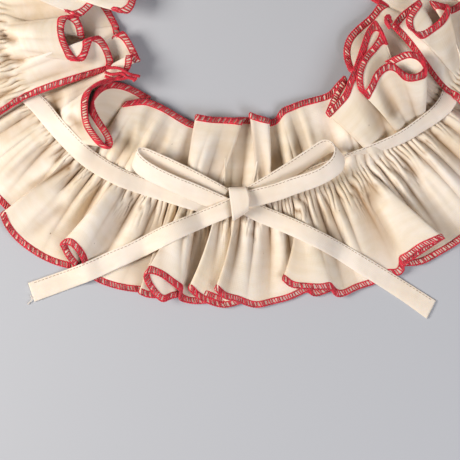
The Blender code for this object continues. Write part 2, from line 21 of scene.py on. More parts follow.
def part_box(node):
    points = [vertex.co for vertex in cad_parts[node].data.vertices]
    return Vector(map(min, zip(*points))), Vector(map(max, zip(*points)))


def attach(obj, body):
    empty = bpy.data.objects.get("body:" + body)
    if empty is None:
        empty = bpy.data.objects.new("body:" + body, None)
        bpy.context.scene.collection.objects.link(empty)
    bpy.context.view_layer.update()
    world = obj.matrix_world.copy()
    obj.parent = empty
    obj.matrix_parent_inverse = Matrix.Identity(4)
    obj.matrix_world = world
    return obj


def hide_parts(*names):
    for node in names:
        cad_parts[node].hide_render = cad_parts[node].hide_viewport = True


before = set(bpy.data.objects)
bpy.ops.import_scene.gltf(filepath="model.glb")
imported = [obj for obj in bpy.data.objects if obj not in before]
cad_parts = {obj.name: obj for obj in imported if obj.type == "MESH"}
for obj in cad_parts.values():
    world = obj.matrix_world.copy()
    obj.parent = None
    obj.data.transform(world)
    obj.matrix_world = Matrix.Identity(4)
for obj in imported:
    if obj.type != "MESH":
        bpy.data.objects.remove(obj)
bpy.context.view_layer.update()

LOG = logging.getLogger("collar")
BODY = "root"
MM = 0.001

# The plan: its unit in millimetres, the neck's middle on it, the foot and the height of the eye
# above it, and the units that the eye takes in across.
PLAN_UNIT = 0.54
PLAN_MIDDLE = (237.0, 3.0)
PLAN_EYE = (230.0, 230.0)
EYE_HEIGHT = 650.0
PLAN_FIELD = 460.0

# Half the width and half the depth of each gathering line's ellipse about the neck, in millimetres.
FRONT_NECK = (124.0, 108.0)
BACK_NECK = (127.0, 113.0)

# The plain weave, the gathered cloth and its edges, in millimetres.
CLOTH = 0.5
STRIP_WIDTH = 100.0
EDGE_STRETCH = 1.14
OVERLOCK_WIDTH = 2.9
RUNG_PITCH = 1.45
RUNG_RADIUS = 0.42
LOOP_RAIL_RADIUS = 0.5
NEEDLE_RAIL_RADIUS = 0.36
TIE_WIDTH = 10.4
TIE_THICKNESS = 0.9
STITCH_PITCH = 2.1
STITCH_LENGTH = 1.45
STITCH_RADIUS = 0.14
STITCH_INSET = 1.0

# Least gaps over the floor, in millimetres, and how many points a line has that is only measured.
CLOTH_GAP = 0.05
THREAD_GAP = 0.02
SAMPLES = 400


class Slot(str, Enum):
    """The record's material slots."""

    CLOTH = "cotton_cloth"
    TIE = "cotton_tie"
    RED = "red_thread"
    SEAM = "seam_thread"


class Rest(Enum):
    """How a stretch of the tie gets its height."""

    LAID = "on what lies under it, and no higher than its table says"
    FREE = "at the heights of its table"


class Border(Enum):
    """The four raw edges of a gathered strip."""

    OUTER = "outer"
    INNER = "inner"
    START = "start"
    FINISH = "finish"


def linear(colour: str) -> tuple[float, float, float, float]:
    """Turns an sRGB hex colour into linear light.

    Args:
        colour: six hex digits after a hash.

    Returns:
        Red, green, blue and alpha.
    """
    shares = [int(colour[k:k + 2], 16) / 255.0 for k in (1, 3, 5)]
    light = [s / 12.92 if s <= 0.04045 else ((s + 0.055) / 1.055) ** 2.4 for s in shares]
    return (*light, 1.0)


def add_node(tree: bpy.types.NodeTree, kind: str, settings: dict, links: dict) -> bpy.types.Node:
    """Adds a shader node with its settings and the sockets that feed it.

    Args:
        tree: the material's node tree.
        kind: the node's type name.
        settings: values by attribute name, or by input name or number.
        links: output sockets by input name or number.

    Returns:
        The new node.
    """
    node = tree.nodes.new(kind)
    for name, value in settings.items():
        if isinstance(name, str) and hasattr(node, name):
            setattr(node, name, value)
        else:
            node.inputs[name].default_value = value
    for name, socket in links.items():
        tree.links.new(socket, node.inputs[name])
    return node


def new_material(name: str, settings: dict) -> tuple[bpy.types.Material, bpy.types.Node]:
    """Starts a material.

    Args:
        name: the material's name.
        settings: values by input name of its main shader.

    Returns:
        The material and its main shader.
    """
    material = bpy.data.materials.new(name)
    material.use_nodes = True
    shader = material.node_tree.nodes["Principled BSDF"]
    for socket, value in settings.items():
        shader.inputs[socket].default_value = value
    return material, shader


@dataclass(frozen=True)
class CottonFinish:
    """Plain-weave cotton: fine threads across each other, slubs, faint warmth and dark seed flecks."""

    name: str
    light: str
    deep: str
    fleck: str = "#6B5138"
    thread_mm: float = 0.9
    slub_mm: float = 5.0
    cloud_mm: float = 45.0
    fleck_cell_mm: float = 14.0
    fleck_mm: float = 0.5
    # Colour and strength of the painted shade in the valleys of the folds and in the dents.
    painted_shade: str = "#98754F"
    painted_shade_strength: float = 0.0

    def material(self) -> bpy.types.Material:
        """Builds the material on the piece's UV map, which holds metres along and across the cloth.

        The weave is drawn a little coarser than real threads, so that it shows. Matt cotton lets
        some light through, which the shader's subsurface gives. The valleys of the folds and the dents
        are painted a warmer, darker tan from an attribute: painted shade, standing in for the light
        that goes from cloth to cloth in a fold and comes out warmer and dimmer.

        Returns:
            The material.
        """
        material, shader = new_material(self.name, {
            "Roughness": 0.88, "Sheen Weight": 0.12, "Specular IOR Level": 0.25,
            "Subsurface Weight": 0.12, "Subsurface Radius": (1.0, 0.7, 0.45), "Subsurface Scale": 1.5 * MM,
        })
        tree = material.node_tree
        cloth = add_node(tree, "ShaderNodeUVMap", {"uv_map": "cloth"}, {}).outputs[0]
        cloud = add_node(tree, "ShaderNodeTexNoise", {"Scale": 1.0 / (self.cloud_mm * MM), "Detail": 3.0},
                         {"Vector": cloth})
        stretched = add_node(tree, "ShaderNodeMapping", {"Scale": (0.3, 1.0, 1.0)}, {"Vector": cloth})
        slub = add_node(tree, "ShaderNodeTexNoise", {"Scale": 1.0 / (self.slub_mm * MM), "Detail": 4.0},
                        {"Vector": stretched.outputs[0]})
        tone = add_node(tree, "ShaderNodeMix", {"data_type": "FLOAT", 0: 0.35},
                        {2: cloud.outputs[0], 3: slub.outputs[0]})
        spread = add_node(tree, "ShaderNodeMapRange",
                          {"From Min": 0.34, "From Max": 0.62}, {"Value": tone.outputs[0]})
        mixed = add_node(tree, "ShaderNodeMix",
                         {"data_type": "RGBA", 6: linear(self.deep), 7: linear(self.light)},
                         {0: spread.outputs[0]})
        cells = add_node(tree, "ShaderNodeTexVoronoi", {"Scale": 1.0 / (self.fleck_cell_mm * MM)},
                         {"Vector": cloth})
        edge = self.fleck_mm / self.fleck_cell_mm
        fleck = add_node(tree, "ShaderNodeMapRange",
                         {"From Min": edge, "From Max": 0.5 * edge, "To Max": 0.7},
                         {"Value": cells.outputs["Distance"]})
        colour = add_node(tree, "ShaderNodeMix", {"data_type": "RGBA", 7: linear(self.fleck)},
                          {0: fleck.outputs[0], 6: mixed.outputs[2]})
        # Painted shade: the colour is mixed towards a dark tan by the attribute of the folds' valleys and
        # dents.
        valley = add_node(tree, "ShaderNodeAttribute", {"attribute_name": "painted_shade"}, {})
        tint = add_node(tree, "ShaderNodeMath", {"operation": "MULTIPLY", 1: self.painted_shade_strength},
                        {0: valley.outputs["Fac"]})
        shaded_colour = add_node(tree, "ShaderNodeMix", {"data_type": "RGBA", 7: linear(self.painted_shade)},
                        {0: tint.outputs[0], 6: colour.outputs[2]})
        tree.links.new(shaded_colour.outputs[2], shader.inputs["Base Color"])
        scale = 0.05 * 2.0 * math.pi / (self.thread_mm * MM)
        warp, weft = (
            add_node(tree, "ShaderNodeTexWave",
                     {"bands_direction": bands, "Scale": scale, "Distortion": 0.6}, {"Vector": cloth})
            for bands in ("X", "Y")
        )
        weave = add_node(tree, "ShaderNodeMath", {"operation": "MULTIPLY"},
                         {0: warp.outputs[1], 1: weft.outputs[1]})
        rough = add_node(tree, "ShaderNodeMath", {"operation": "ADD"},
                         {0: weave.outputs[0], 1: slub.outputs[0]})
        bump = add_node(tree, "ShaderNodeBump", {"Strength": 0.3, "Distance": 0.1 * MM},
                        {"Height": rough.outputs[0]})
        tree.links.new(bump.outputs[0], shader.inputs["Normal"])
        return material


@dataclass(frozen=True)
class ThreadFinish:
    """Spun sewing thread: a soft sheen, a twist across it and uneven dye."""

    name: str
    light: str
    deep: str
    twist_mm: float = 0.8
    cloud_mm: float = 3.0

    def material(self) -> bpy.types.Material:
        """Builds the material on Object coordinates.

        Returns:
            The material.
        """
        material, shader = new_material(self.name, {"Roughness": 0.6, "Sheen Weight": 0.27})
        tree = material.node_tree
        place = add_node(tree, "ShaderNodeTexCoord", {}, {}).outputs["Object"]
        cloud = add_node(tree, "ShaderNodeTexNoise", {"Scale": 1.0 / (self.cloud_mm * MM), "Detail": 2.0},
                         {"Vector": place})
        spread = add_node(tree, "ShaderNodeMapRange", {"From Min": 0.35, "From Max": 0.65},
                          {"Value": cloud.outputs[0]})
        colour = add_node(tree, "ShaderNodeMix",
                          {"data_type": "RGBA", 6: linear(self.deep), 7: linear(self.light)},
                          {0: spread.outputs[0]})
        tree.links.new(colour.outputs[2], shader.inputs["Base Color"])
        twist = add_node(tree, "ShaderNodeTexNoise", {"Scale": 1.0 / (self.twist_mm * MM), "Detail": 1.0},
                         {"Vector": place})
        bump = add_node(tree, "ShaderNodeBump", {"Strength": 0.4, "Distance": 0.1 * MM},
                        {"Height": twist.outputs[0]})
        tree.links.new(bump.outputs[0], shader.inputs["Normal"])
        return material


@dataclass
class Wardrobe:
    """The finishes by slot, each made a material once."""

    finishes: dict = field(default_factory=lambda: {
        # Unbleached cotton, woven plain and gathered: a matt warm white, with a painted tan shade in the
        # valleys of the folds and in the dents.
        Slot.CLOTH: CottonFinish("unbleached_cotton", "#F9EDDD", "#E9D6B8", painted_shade_strength=0.9),
        # The same cotton, folded and pressed flat: the same warm white, without the painted tan shade of the
        # folds.
        Slot.TIE: CottonFinish("unbleached_cotton_band", "#F6EADB", "#EADAC4"),
        # Spun and dyed thread, looped over an edge: a strong red with a soft sheen and dark gaps.
        Slot.RED: ThreadFinish("red_overlock_thread", "#E5203C", "#B00E24"),
        # Spun undyed thread: a row of small tan strokes on the band.
        Slot.SEAM: ThreadFinish("natural_seam_thread", "#AD9272", "#8F7453"),
    })
    made: dict = field(default_factory=dict)

    def material(self, slot: Slot) -> bpy.types.Material:
        """The material of a slot, built when it is first asked for."""
        if slot not in self.made:
            self.made[slot] = self.finishes[slot].material()
        return self.made[slot]


WARDROBE = Wardrobe()


def neck_middle() -> np.ndarray:
    """The neck's middle in the part's frame, from the tie's hidden arc: half an ellipse about it.

    Returns:
        x and y in millimetres.
    """
    low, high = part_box("tie_back")
    return np.array([0.5 * (low.x + high.x) / MM, high.y / MM - BACK_NECK[1] - 0.5 * TIE_WIDTH])


NECK = neck_middle()


def from_plan(table: tuple | np.ndarray) -> np.ndarray:
    """Turns rows that start with a plan x and y into millimetres about the neck's middle.

    What stands above the floor is drawn farther from the eye's foot, by its height over the eye's,
    and is moved back here.

    Args:
        table: rows of x, y, height and further columns.

    Returns:
        The rows with x to the right and y up the plan.
    """
    rows = np.array(table, float)
    eye = np.array(PLAN_EYE)
    rows[:, :2] = eye + (rows[:, :2] - eye) * (1.0 - rows[:, 2:3] / EYE_HEIGHT)
    rows[:, 0] = (rows[:, 0] - PLAN_MIDDLE[0]) * PLAN_UNIT
    rows[:, 1] = (PLAN_MIDDLE[1] - rows[:, 1]) * PLAN_UNIT
    return rows


def dent_rows(table: tuple) -> np.ndarray:
    """Turns both ends of dents, which lie level, into millimetres about the neck's middle.

    Args:
        table: rows of x, y and half width of one end, then x, y and depth of the other.

    Returns:
        The rows with both ends turned.
    """
    rows = np.array(table, float)
    level = np.zeros(len(rows))
    for column in (0, 3):
        ends = from_plan(np.column_stack([rows[:, column:column + 2], level]))
        rows[:, column:column + 2] = ends[:, :2]
    return rows


def about_neck(radius: np.ndarray, angle: np.ndarray) -> tuple[np.ndarray, np.ndarray]:
    """x and y at a distance from the neck's middle and an angle in radians from the centre front."""
    return radius * np.sin(angle), -radius * np.cos(angle)


def corner_cut(points: np.ndarray, rounds: int = 4) -> np.ndarray:
    """Smooth curve through a control polygon: each round cuts every corner at a quarter.

    Args:
        points: the polygon's corners, one a row.
        rounds: how often the corners are cut.

    Returns:
        The curve's points, with the polygon's own ends.
    """
    for _ in range(rounds):
        first = 0.75 * points[:-1] + 0.25 * points[1:]
        second = 0.25 * points[:-1] + 0.75 * points[1:]
        inside = np.stack([first, second], axis=1).reshape(-1, points.shape[1])
        points = np.vstack([points[:1], inside, points[-1:]])
    return points


def arc_length(points: np.ndarray) -> np.ndarray:
    """Distance along a polyline from its first point to each of its points, by x, y and z."""
    steps = np.linalg.norm(np.diff(points[:, :3], axis=0), axis=1)
    return np.concatenate([[0.0], np.cumsum(steps)])


def read_at(wanted: np.ndarray, known: np.ndarray, rows: np.ndarray) -> np.ndarray:
    """Rows that stand at known distances, read at wanted ones by straight lines between them."""
    return np.stack([np.interp(wanted, known, column) for column in rows.T], axis=-1)


def even_spacing(points: np.ndarray, count: int) -> np.ndarray:
    """Spaces a polyline's points evenly: every column is read at evenly spaced distances.

    Args:
        points: x, y and z in the first columns, and what else is carried along.
        count: how many points are wanted.

    Returns:
        The new rows.
    """
    travelled = arc_length(points)
    return read_at(np.linspace(0.0, travelled[-1], count), travelled, points)


def gaussian(values: np.ndarray, reach: float) -> np.ndarray:
    """Smooths values with a bell, and carries them on past both ends turned about the end value.

    Args:
        values: evenly spaced samples.
        reach: the bell's width in samples.

    Returns:
        As many smoothed samples.
    """
    half = int(3.0 * reach)
    weights = np.exp(-0.5 * (np.arange(-half, half + 1) / reach) ** 2)
    padded = np.pad(values, half, mode="reflect", reflect_type="odd")
    return np.convolve(padded, weights / weights.sum(), mode="valid")


def wobble(along: np.ndarray, seed: float) -> np.ndarray:
    """Smooth irregular values from about -1 to 1: four sines whose pitches share no multiple."""
    return 0.35 * (
        np.sin(1.00 * along + 1.7 * seed)
        + np.sin(1.618 * along + 2.9 * seed + 1.0)
        + 0.8 * np.sin(2.414 * along + 4.1 * seed + 2.0)
        + 0.6 * np.sin(3.303 * along + 5.3 * seed)
    )


def unit(vectors: np.ndarray) -> np.ndarray:
    """Vectors of length one along the last axis."""
    return vectors / np.maximum(np.linalg.norm(vectors, axis=-1, keepdims=True), 1e-9)


def outward(points: np.ndarray, faces: np.ndarray) -> np.ndarray:
    """Turns a closed mesh's faces outwards: its signed volume by corner products has to be positive.

    Args:
        points: its vertices.
        faces: its four-sided faces, all turned one way.

    Returns:
        The faces, all turned outwards.
    """
    corners = points[faces]
    first = np.einsum("ij,ij->i", corners[:, 0], np.cross(corners[:, 1], corners[:, 2]))
    second = np.einsum("ij,ij->i", corners[:, 0], np.cross(corners[:, 2], corners[:, 3]))
    return faces if first.sum() + second.sum() > 0.0 else faces[:, ::-1]


def add_piece(name: str, points: np.ndarray, faces: np.ndarray, slot: Slot,
              cloth: np.ndarray | None = None) -> bpy.types.Object:
    """Puts a finished mesh into the scene, on the body and with its slot's finish.

    Args:
        name: the piece's name.
        points: its vertices, in millimetres about the neck's middle.
        faces: its four-sided faces.
        slot: the record's slot of its finish.
        cloth: metres along and across the cloth for each vertex, for the weave.

    Returns:
        The new object.
    """
    placed = (points + np.array([NECK[0], NECK[1], 0.0])) * MM
    mesh = bpy.data.meshes.new(name)
    mesh.from_pydata(placed.tolist(), [], faces.tolist())
    if cloth is not None:
        layer = mesh.uv_layers.new(name="cloth")
        layer.data.foreach_set("uv", cloth[faces.ravel()].astype(np.float32).ravel())
    mesh.shade_smooth()
    mesh.materials.append(WARDROBE.material(slot))
    piece = bpy.data.objects.new(name, mesh)
    bpy.context.scene.collection.objects.link(piece)
    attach(piece, BODY)
    LOG.info("%s: %d faces", name, len(faces))
    return piece


def sweep(rings: np.ndarray, closed: bool = False) -> tuple[np.ndarray, np.ndarray]:
    """Joins rings of points into tubes.

    Args:
        rings: tubes by stations by an even number of ring points by x, y and z.
        closed: whether each tube's last station joins its first.

    Returns:
        The points, and four-sided faces with strips of faces over open ends.
    """
    tubes, stations, sides = rings.shape[:3]
    index = np.arange(tubes * stations * sides).reshape(tubes, stations, sides)
    near = index if closed else index[:, :-1]
    far = np.roll(index, -1, axis=1) if closed else index[:, 1:]
    walls = np.stack([near, np.roll(near, -1, axis=2), np.roll(far, -1, axis=2), far], axis=-1)
    faces = [walls.reshape(-1, 4)]
    if not closed:
        low = np.arange(sides // 2 - 1)
        strip = np.stack([low, low + 1, sides - 2 - low, sides - 1 - low], axis=1)
        faces.append(index[:, 0][:, strip[:, ::-1]].reshape(-1, 4))
        faces.append(index[:, -1][:, strip].reshape(-1, 4))
    return rings.reshape(-1, 3), np.concatenate(faces)


def joined(parts: list) -> tuple[np.ndarray, np.ndarray]:
    """Puts meshes together as one, where each mesh's faces count on from the points before it.

    Args:
        parts: points and faces of each mesh.

    Returns:
        All points and all faces.
    """
    starts = np.cumsum([0] + [len(points) for points, _ in parts[:-1]])
    shifted = [faces + start for (_, faces), start in zip(parts, starts)]
    return np.concatenate([points for points, _ in parts]), np.concatenate(shifted)


def ring_angles(count: int, offset: float = 0.5) -> np.ndarray:
    """Evenly spaced angles round a ring, the first one a share of a step on from zero."""
    return (np.arange(count) + offset) * 2.0 * math.pi / count


def blunt(wave: np.ndarray, power: float) -> np.ndarray:
    """A wave whose size goes to a power and keeps its sign: below one, the power squares it off."""
    return np.sign(wave) * np.abs(wave) ** power


def tube_rings(paths: np.ndarray, ups: np.ndarray, radius: np.ndarray | float, sides: int) -> np.ndarray:
    """Rings round paths: cosine times the side vector plus sine times the up vector, by the radius.

    Args:
        paths: tubes by stations by x, y and z.
        ups: a vector to stand the rings by, for each station.
        radius: one radius, or one for each station.
        sides: points in a ring.

    Returns:
        Tubes by stations by ring points by x, y and z.
    """
    along = unit(np.gradient(paths, axis=1))
    across = unit(np.cross(along, ups))
    up = np.cross(across, along)
    turn = ring_angles(sides)
    size = np.broadcast_to(radius, paths.shape[:2])[:, :, None, None]
    ring = np.cos(turn)[:, None] * across[:, :, None] + np.sin(turn)[:, None] * up[:, :, None]
    return paths[:, :, None] + size * ring


@dataclass(frozen=True)
class RootLine:
    """The gathering line: part of an ellipse about the neck, with the cloth's height beside it."""

    half_width: float
    half_depth: float
    start: float
    end: float
    levels: tuple

    def radius(self, angle: np.ndarray) -> np.ndarray:
        """Distance from the neck's middle at an angle in radians from the centre front."""
        return 1.0 / np.hypot(np.sin(angle) / self.half_width, np.cos(angle) / self.half_depth)

    def level(self, angle: np.ndarray, column: int) -> np.ndarray:
        """A column of the levels at an angle in radians: 1 height, 2 puff, 3 power of the rise."""
        rows = np.array(self.levels)
        return np.interp(np.degrees(angle), rows[:, 0], rows[:, column])

    def length(self) -> float:
        """The line's own length."""
        angle = np.radians(np.linspace(self.start, self.end, SAMPLES))
        return float(arc_length(np.column_stack(about_neck(self.radius(angle), angle)))[-1])


@dataclass
class EdgeLine:
    """A raw edge of a strip: a smooth curve through its turns, and how the gathers feed it.

    A turn's row is x, y, height and thickness; a row with a thickness is where the edge doubles
    back, in low and out high, or the other way round for a negative one. A pin's row is x, y and
    height of a place on the edge, and the angle in degrees of the gathers that feed it. Between
    pins the gathers feed the edge as its smoothed angle about the neck grows, and a share of them
    evenly by its length. With a lift base, the turns are raised by as much as the gathering line's
    own height is over it.
    """

    turns: np.ndarray
    lift: RootLine
    lift_base: float
    pins: tuple = ()
    smoothing: float = 36.0
    even_share: float = 0.12
    step: float = 0.5
    curve: np.ndarray = field(init=False)
    progress: np.ndarray = field(init=False)

    def __post_init__(self) -> None:
        """Cuts the corners of the turns, spaces the curve evenly and shares out the gathers."""
        points = []
        for x, y, height, thickness in self.turns:
            angle = math.atan2(x, -y) % (2.0 * math.pi)
            if self.lift.end < 180.0 and angle > math.pi:
                angle -= 2.0 * math.pi
            rise = float(self.lift.level(np.array(angle), 1)) - self.lift_base if self.lift_base else 0.0
            for side in ((-0.5, 0.5) if thickness else (0.0,)):
                points.append((x, y, height + side * thickness + rise))
        smooth = corner_cut(np.array(points))
        self.curve = even_spacing(smooth, int(arc_length(smooth)[-1] / self.step))
        angle = np.unwrap(np.arctan2(self.curve[:, 0], -self.curve[:, 1]))
        smoothed = gaussian(angle, self.smoothing)
        travelled = np.linspace(0.0, 1.0, len(self.curve))
        rising = np.maximum.accumulate(smoothed) + self.even_share * (smoothed[-1] - smoothed[0]) * travelled
        self.progress = (rising - rising[0]) / (rising[-1] - rising[0])
        if self.pins:
            *places, angles = from_plan(self.pins).T
            nearest = [np.argmin(np.linalg.norm(self.curve - place, axis=1)) for place in zip(*places)]
            shares = (angles - self.lift.start) / (self.lift.end - self.lift.start)
            self.progress = np.interp(self.progress, [0.0, *self.progress[nearest], 1.0], [0.0, *shares, 1.0])

    def at(self, places: np.ndarray) -> np.ndarray:
        """Points of the edge at shares of the gathering line, with x, y and z on the last axis."""
        return read_at(places, self.progress, self.curve)


@dataclass(frozen=True)
class Gathers:
    """Folds of a gathered strip at three sizes: puckers at the seam, pleats, and soft drapes."""

    seed: float
    pucker_pitch: float = 2.9
    pucker_height: float = 3.0
    pucker_reach: tuple = (3.2, 11.0)
    pleat_pitch: float = 6.6
    pleat_height: tuple = (1.6, 3.4)
    pleat_reach: float = 11.0
    drape_pitch: float = 17.0
    drape_height: tuple = (5.4, 3.6)
    drape_reach: float = 24.0

    def fold(self, along: np.ndarray, away: np.ndarray, outer: np.ndarray) -> tuple[np.ndarray, np.ndarray]:
        """Height of the folds: each size is a ridge wave along the seam that fades away from it.

        Puckers are the square root of a sine's size, so their valleys are sharp, and they fade as a
        bell. Pleats, a sine's size, rise to their reach and then fall, as distance times its falling
        exponential. Drapes, a sine, do so as the square of that.

        Args:
            along: millimetres along the gathering line.
            away: millimetres from it across the strip.
            outer: whether it is on the outer side, whose values stand second in the pairs.

        Returns:
            Millimetres up, and how deep in a valley it is, from 0 to 1, for the painted shade in the
            cloth's colour: what the waves lack to one, to a power, times how strong they are there.
        """
        reach, pleat_height, drape_height = (
            np.where(outer, pair[1], pair[0])
            for pair in (self.pucker_reach, self.pleat_height, self.drape_height)
        )
        reach = reach * (1.0 + 0.5 * wobble(along / 2.2, self.seed))
        phase = math.pi * along / self.pucker_pitch + 1.8 * wobble(along / 6.0, self.seed + 1.0)
        phase = phase + 0.3 * away * wobble(along / 4.0 + away / 7.0, self.seed + 2.0)
        ridge = np.sqrt(np.abs(np.sin(phase)))
        strength = np.exp(-(away / reach) ** 2)
        # Painted shade: how deep each point lies in a valley of the folds, to darken its colour.
        painted_shade = 1.8 * (1.0 - ridge) ** 1.5 * strength
        pucker = self.pucker_height * (ridge - 0.6) * strength * (1.0 + 0.4 * wobble(along / 3.0, 5.0))
        shift = 0.05 * away * wobble(along / 14.0, self.seed + 3.0)
        phase = math.pi * along / self.pleat_pitch + 1.6 * wobble(along / 15.0, self.seed + 4.0) + shift
        pleat = np.abs(np.sin(phase))
        swell = away / self.pleat_reach * np.exp(1.0 - away / self.pleat_reach)
        painted_shade = painted_shade + 0.9 * (1.0 - pleat) ** 2 * swell * pleat_height / self.pleat_height[1]
        pleat = pleat_height * (pleat - 0.5) * swell * (1.0 + 0.5 * wobble(along / 9.0, self.seed + 5.0))
        phase = 2.0 * math.pi * along / self.drape_pitch + 2.0 * wobble(along / 30.0, self.seed + 6.0) + shift
        drape = np.sin(phase)
        swell = (away / self.drape_reach) ** 2 * np.exp(2.0 - 2.0 * away / self.drape_reach)
        painted_shade = painted_shade + 0.4 * (0.5 - 0.5 * drape) ** 2 * swell
        drape = drape_height * 0.5 * drape * swell * (1.0 + 0.5 * wobble(along / 21.0, self.seed + 7.0))
        return pucker + pleat + drape, np.clip(painted_shade, 0.0, 1.0)


@dataclass
class FrillStrip:
    """A strip of cloth gathered along a line, with its two long edges folded as they lie.

    A dent's row is x, y and half width of one end, then x, y and depth of the other, in millimetres
    about the neck's middle. A negative depth is a bulge, which raises the cloth and smooths its
    folds. The quiet pair holds angles, and how strong the folds are at each of them.
    """

    name: str
    root: RootLine
    outer: EdgeLine
    inner: EdgeLine
    gathers: Gathers
    quiet: tuple
    dents: np.ndarray
    columns: int = 1360
    inner_rows: int = 15
    outer_rows: int = 21
    inner_power: float = 1.2
    outer_power: float = 1.3
    turn_share: float = 0.3
    fan_power: float = 1.35
    layer_share: float = 0.5
    low_climb: float = 5.0
    stacked_climb: float = 8.0
    stacked_calm: float = 0.75
    dented_from: float = 2.0
    dented_over: float = 5.0
    # Painted shade from the dents: how much of it a millimetre of depth gives, and its most.
    dent_shade_strength: float = 0.16
    dent_shade_limit: float = 0.7
    probe_place: float = 2e-5
    probe_across: float = 4e-3
    root_length: float = field(init=False)

    def __post_init__(self) -> None:
        """Measures the gathering line once."""
        self.root_length = self.root.length()

    def column_places(self) -> np.ndarray:
        """Places the mesh's columns evenly by length, and closer together where an edge turns.

        Returns:
            Shares of the gathering line.
        """
        fine = np.linspace(0.0, 1.0, 60 * SAMPLES)
        measure = (1.0 - self.turn_share) * fine
        for edge in (self.outer, self.inner):
            steps = unit(np.diff(edge.curve, axis=0))
            turning = np.arccos(np.clip((steps[1:] * steps[:-1]).sum(axis=1), -1.0, 1.0))
            total = np.concatenate([[0.0], np.cumsum(turning), [turning.sum()]])
            measure = measure + 0.5 * self.turn_share * np.interp(fine, edge.progress, total / total[-1])
        return np.interp(np.linspace(0.0, 1.0, self.columns), measure, fine)

    def surface(self, place: np.ndarray, across: np.ndarray) -> np.ndarray:
        """Points of the cloth's middle surface.

        The angle about the neck goes from the gathering line's to the edge's as a power of the
        share of the width, and the distance goes straight. The height climbs early up to a layer's
        height and evenly beyond it, with a puff beside the seam and the folds on top. The folds fade
        towards the edge, where the edge stands high and on a bulge. A dent lowers only what stands
        over the bottom layer.

        Args:
            place: share along the gathering line, from 0 to 1.
            across: -1 at the inner edge, 0 on the gathering line and 1 at the outer edge.

        Returns:
            x, y and z on the last axis.
        """
        angle = np.radians(self.root.start + (self.root.end - self.root.start) * place)
        radius = self.root.radius(angle)
        share = np.abs(across)
        tip = np.where((across < 0.0)[..., None], self.inner.at(place), self.outer.at(place))
        tip_angle = np.arctan2(tip[..., 0], -tip[..., 1])
        swing = (tip_angle - angle + math.pi) % (2.0 * math.pi) - math.pi
        turn = angle + swing * share ** self.fan_power
        reach = radius + (np.hypot(tip[..., 0], tip[..., 1]) - radius) * share
        height, puff, late = (self.root.level(angle, column) for column in (1, 2, 3))
        early = np.where(late > 1.0, share ** late, np.minimum(1.0, share / self.layer_share) ** late)
        climb = tip[..., 2] - height
        low = np.minimum(climb, self.low_climb)
        rise = height + low * early + (climb - low) * share + puff * np.sin(math.pi * share)
        calm = np.interp(np.degrees(angle), self.quiet[0], self.quiet[1])
        along = place * self.root_length
        away = share * 0.5 * STRIP_WIDTH
        stacked = np.clip(climb / self.stacked_climb, 0.0, 1.0) * np.sqrt(share)
        fading = (1.0 - self.stacked_calm * stacked) * (1.0 - share ** 3)
        x, y = about_neck(reach, turn)
        depth, smooth = self.dent(x, y, share)
        rise = rise + calm * fading * (1.0 - smooth) * self.gathers.fold(along, away, across > 0.0)[0]
        rise = rise - depth * np.clip((rise - self.dented_from) / self.dented_over, 0.0, 1.0)
        rise = np.maximum(rise, 0.5 * CLOTH + CLOTH_GAP)
        return np.stack([x, y, rise], axis=-1)

    def dent(self, x: np.ndarray, y: np.ndarray, share: np.ndarray) -> tuple[np.ndarray, np.ndarray]:
        """Depth of the strip's own dents at a place: a bell about each dent's line, none at the edge.

        Args:
            x: to the right.
            y: up the plan.
            share: share of the strip's width, from the gathering line.

        Returns:
            The depth, and how much of the folds a bulge takes away, from 0 to 1.
        """
        depth, smooth = np.zeros_like(x), np.zeros_like(x)
        for start_x, start_y, width, end_x, end_y, deep in self.dents:
            run_x, run_y = end_x - start_x, end_y - start_y
            step = ((x - start_x) * run_x + (y - start_y) * run_y) / (run_x ** 2 + run_y ** 2)
            step = np.clip(step, 0.0, 1.0)
            gap = np.hypot(x - start_x - step * run_x, y - start_y - step * run_y)
            bell = np.exp(-(gap / width) ** 2)
            depth = depth + deep * bell
            smooth = smooth + (bell if deep < 0.0 else 0.0)
        return depth * (1.0 - share ** 3), np.clip(smooth, 0.0, 1.0)

    def normals(self, place: np.ndarray, across: np.ndarray) -> np.ndarray:
        """Unit vectors up from the cloth's middle surface: the cross product of its two slopes.

        Args:
            place: share along the gathering line, from 0 to 1.
            across: -1 at the inner edge, 0 on the gathering line and 1 at the outer edge.

        Returns:
            x, y and z on the last axis.
        """
        side = np.where(across < 0.0, -1.0, 1.0)
        inside = side * np.minimum(np.abs(across), 1.0 - self.probe_across)
        along = self.surface(np.minimum(place + self.probe_place, 1.0), inside)
        along = along - self.surface(np.maximum(place - self.probe_place, 0.0), inside)
        over = self.surface(place, inside + self.probe_across)
        over = over - self.surface(place, inside - self.probe_across)
        return unit(np.cross(over, along))

    def shell(self, middle: np.ndarray) -> tuple[np.ndarray, np.ndarray]:
        """Gives the cloth its thickness: half of it off the middle surface on each side.

        Args:
            middle: rows by columns of points.

        Returns:
            The closed shell's points, upper side first, and its four-sided faces.
        """
        lift = 0.5 * CLOTH * unit(np.cross(np.gradient(middle, axis=0), np.gradient(middle, axis=1)))
        points = np.concatenate([middle + lift, middle - lift]).reshape(-1, 3)
        points[:, 2] = np.maximum(points[:, 2], 0.0)
        grid = np.arange(len(points)).reshape(2, *middle.shape[:2])
        faces = []
        for side, order in zip(grid, (1, -1)):
            quads = np.stack([side[:-1, :-1], side[:-1, 1:], side[1:, 1:], side[1:, :-1]], axis=-1)
            faces.append(quads.reshape(-1, 4)[:, ::order])
        upper, lower = (np.concatenate([s[0, :-1], s[:-1, -1], s[-1, :0:-1], s[:0:-1, 0]]) for s in grid)
        faces.append(np.stack([upper, lower, np.roll(lower, -1), np.roll(upper, -1)], axis=-1))
        return points, outward(points, np.concatenate(faces))

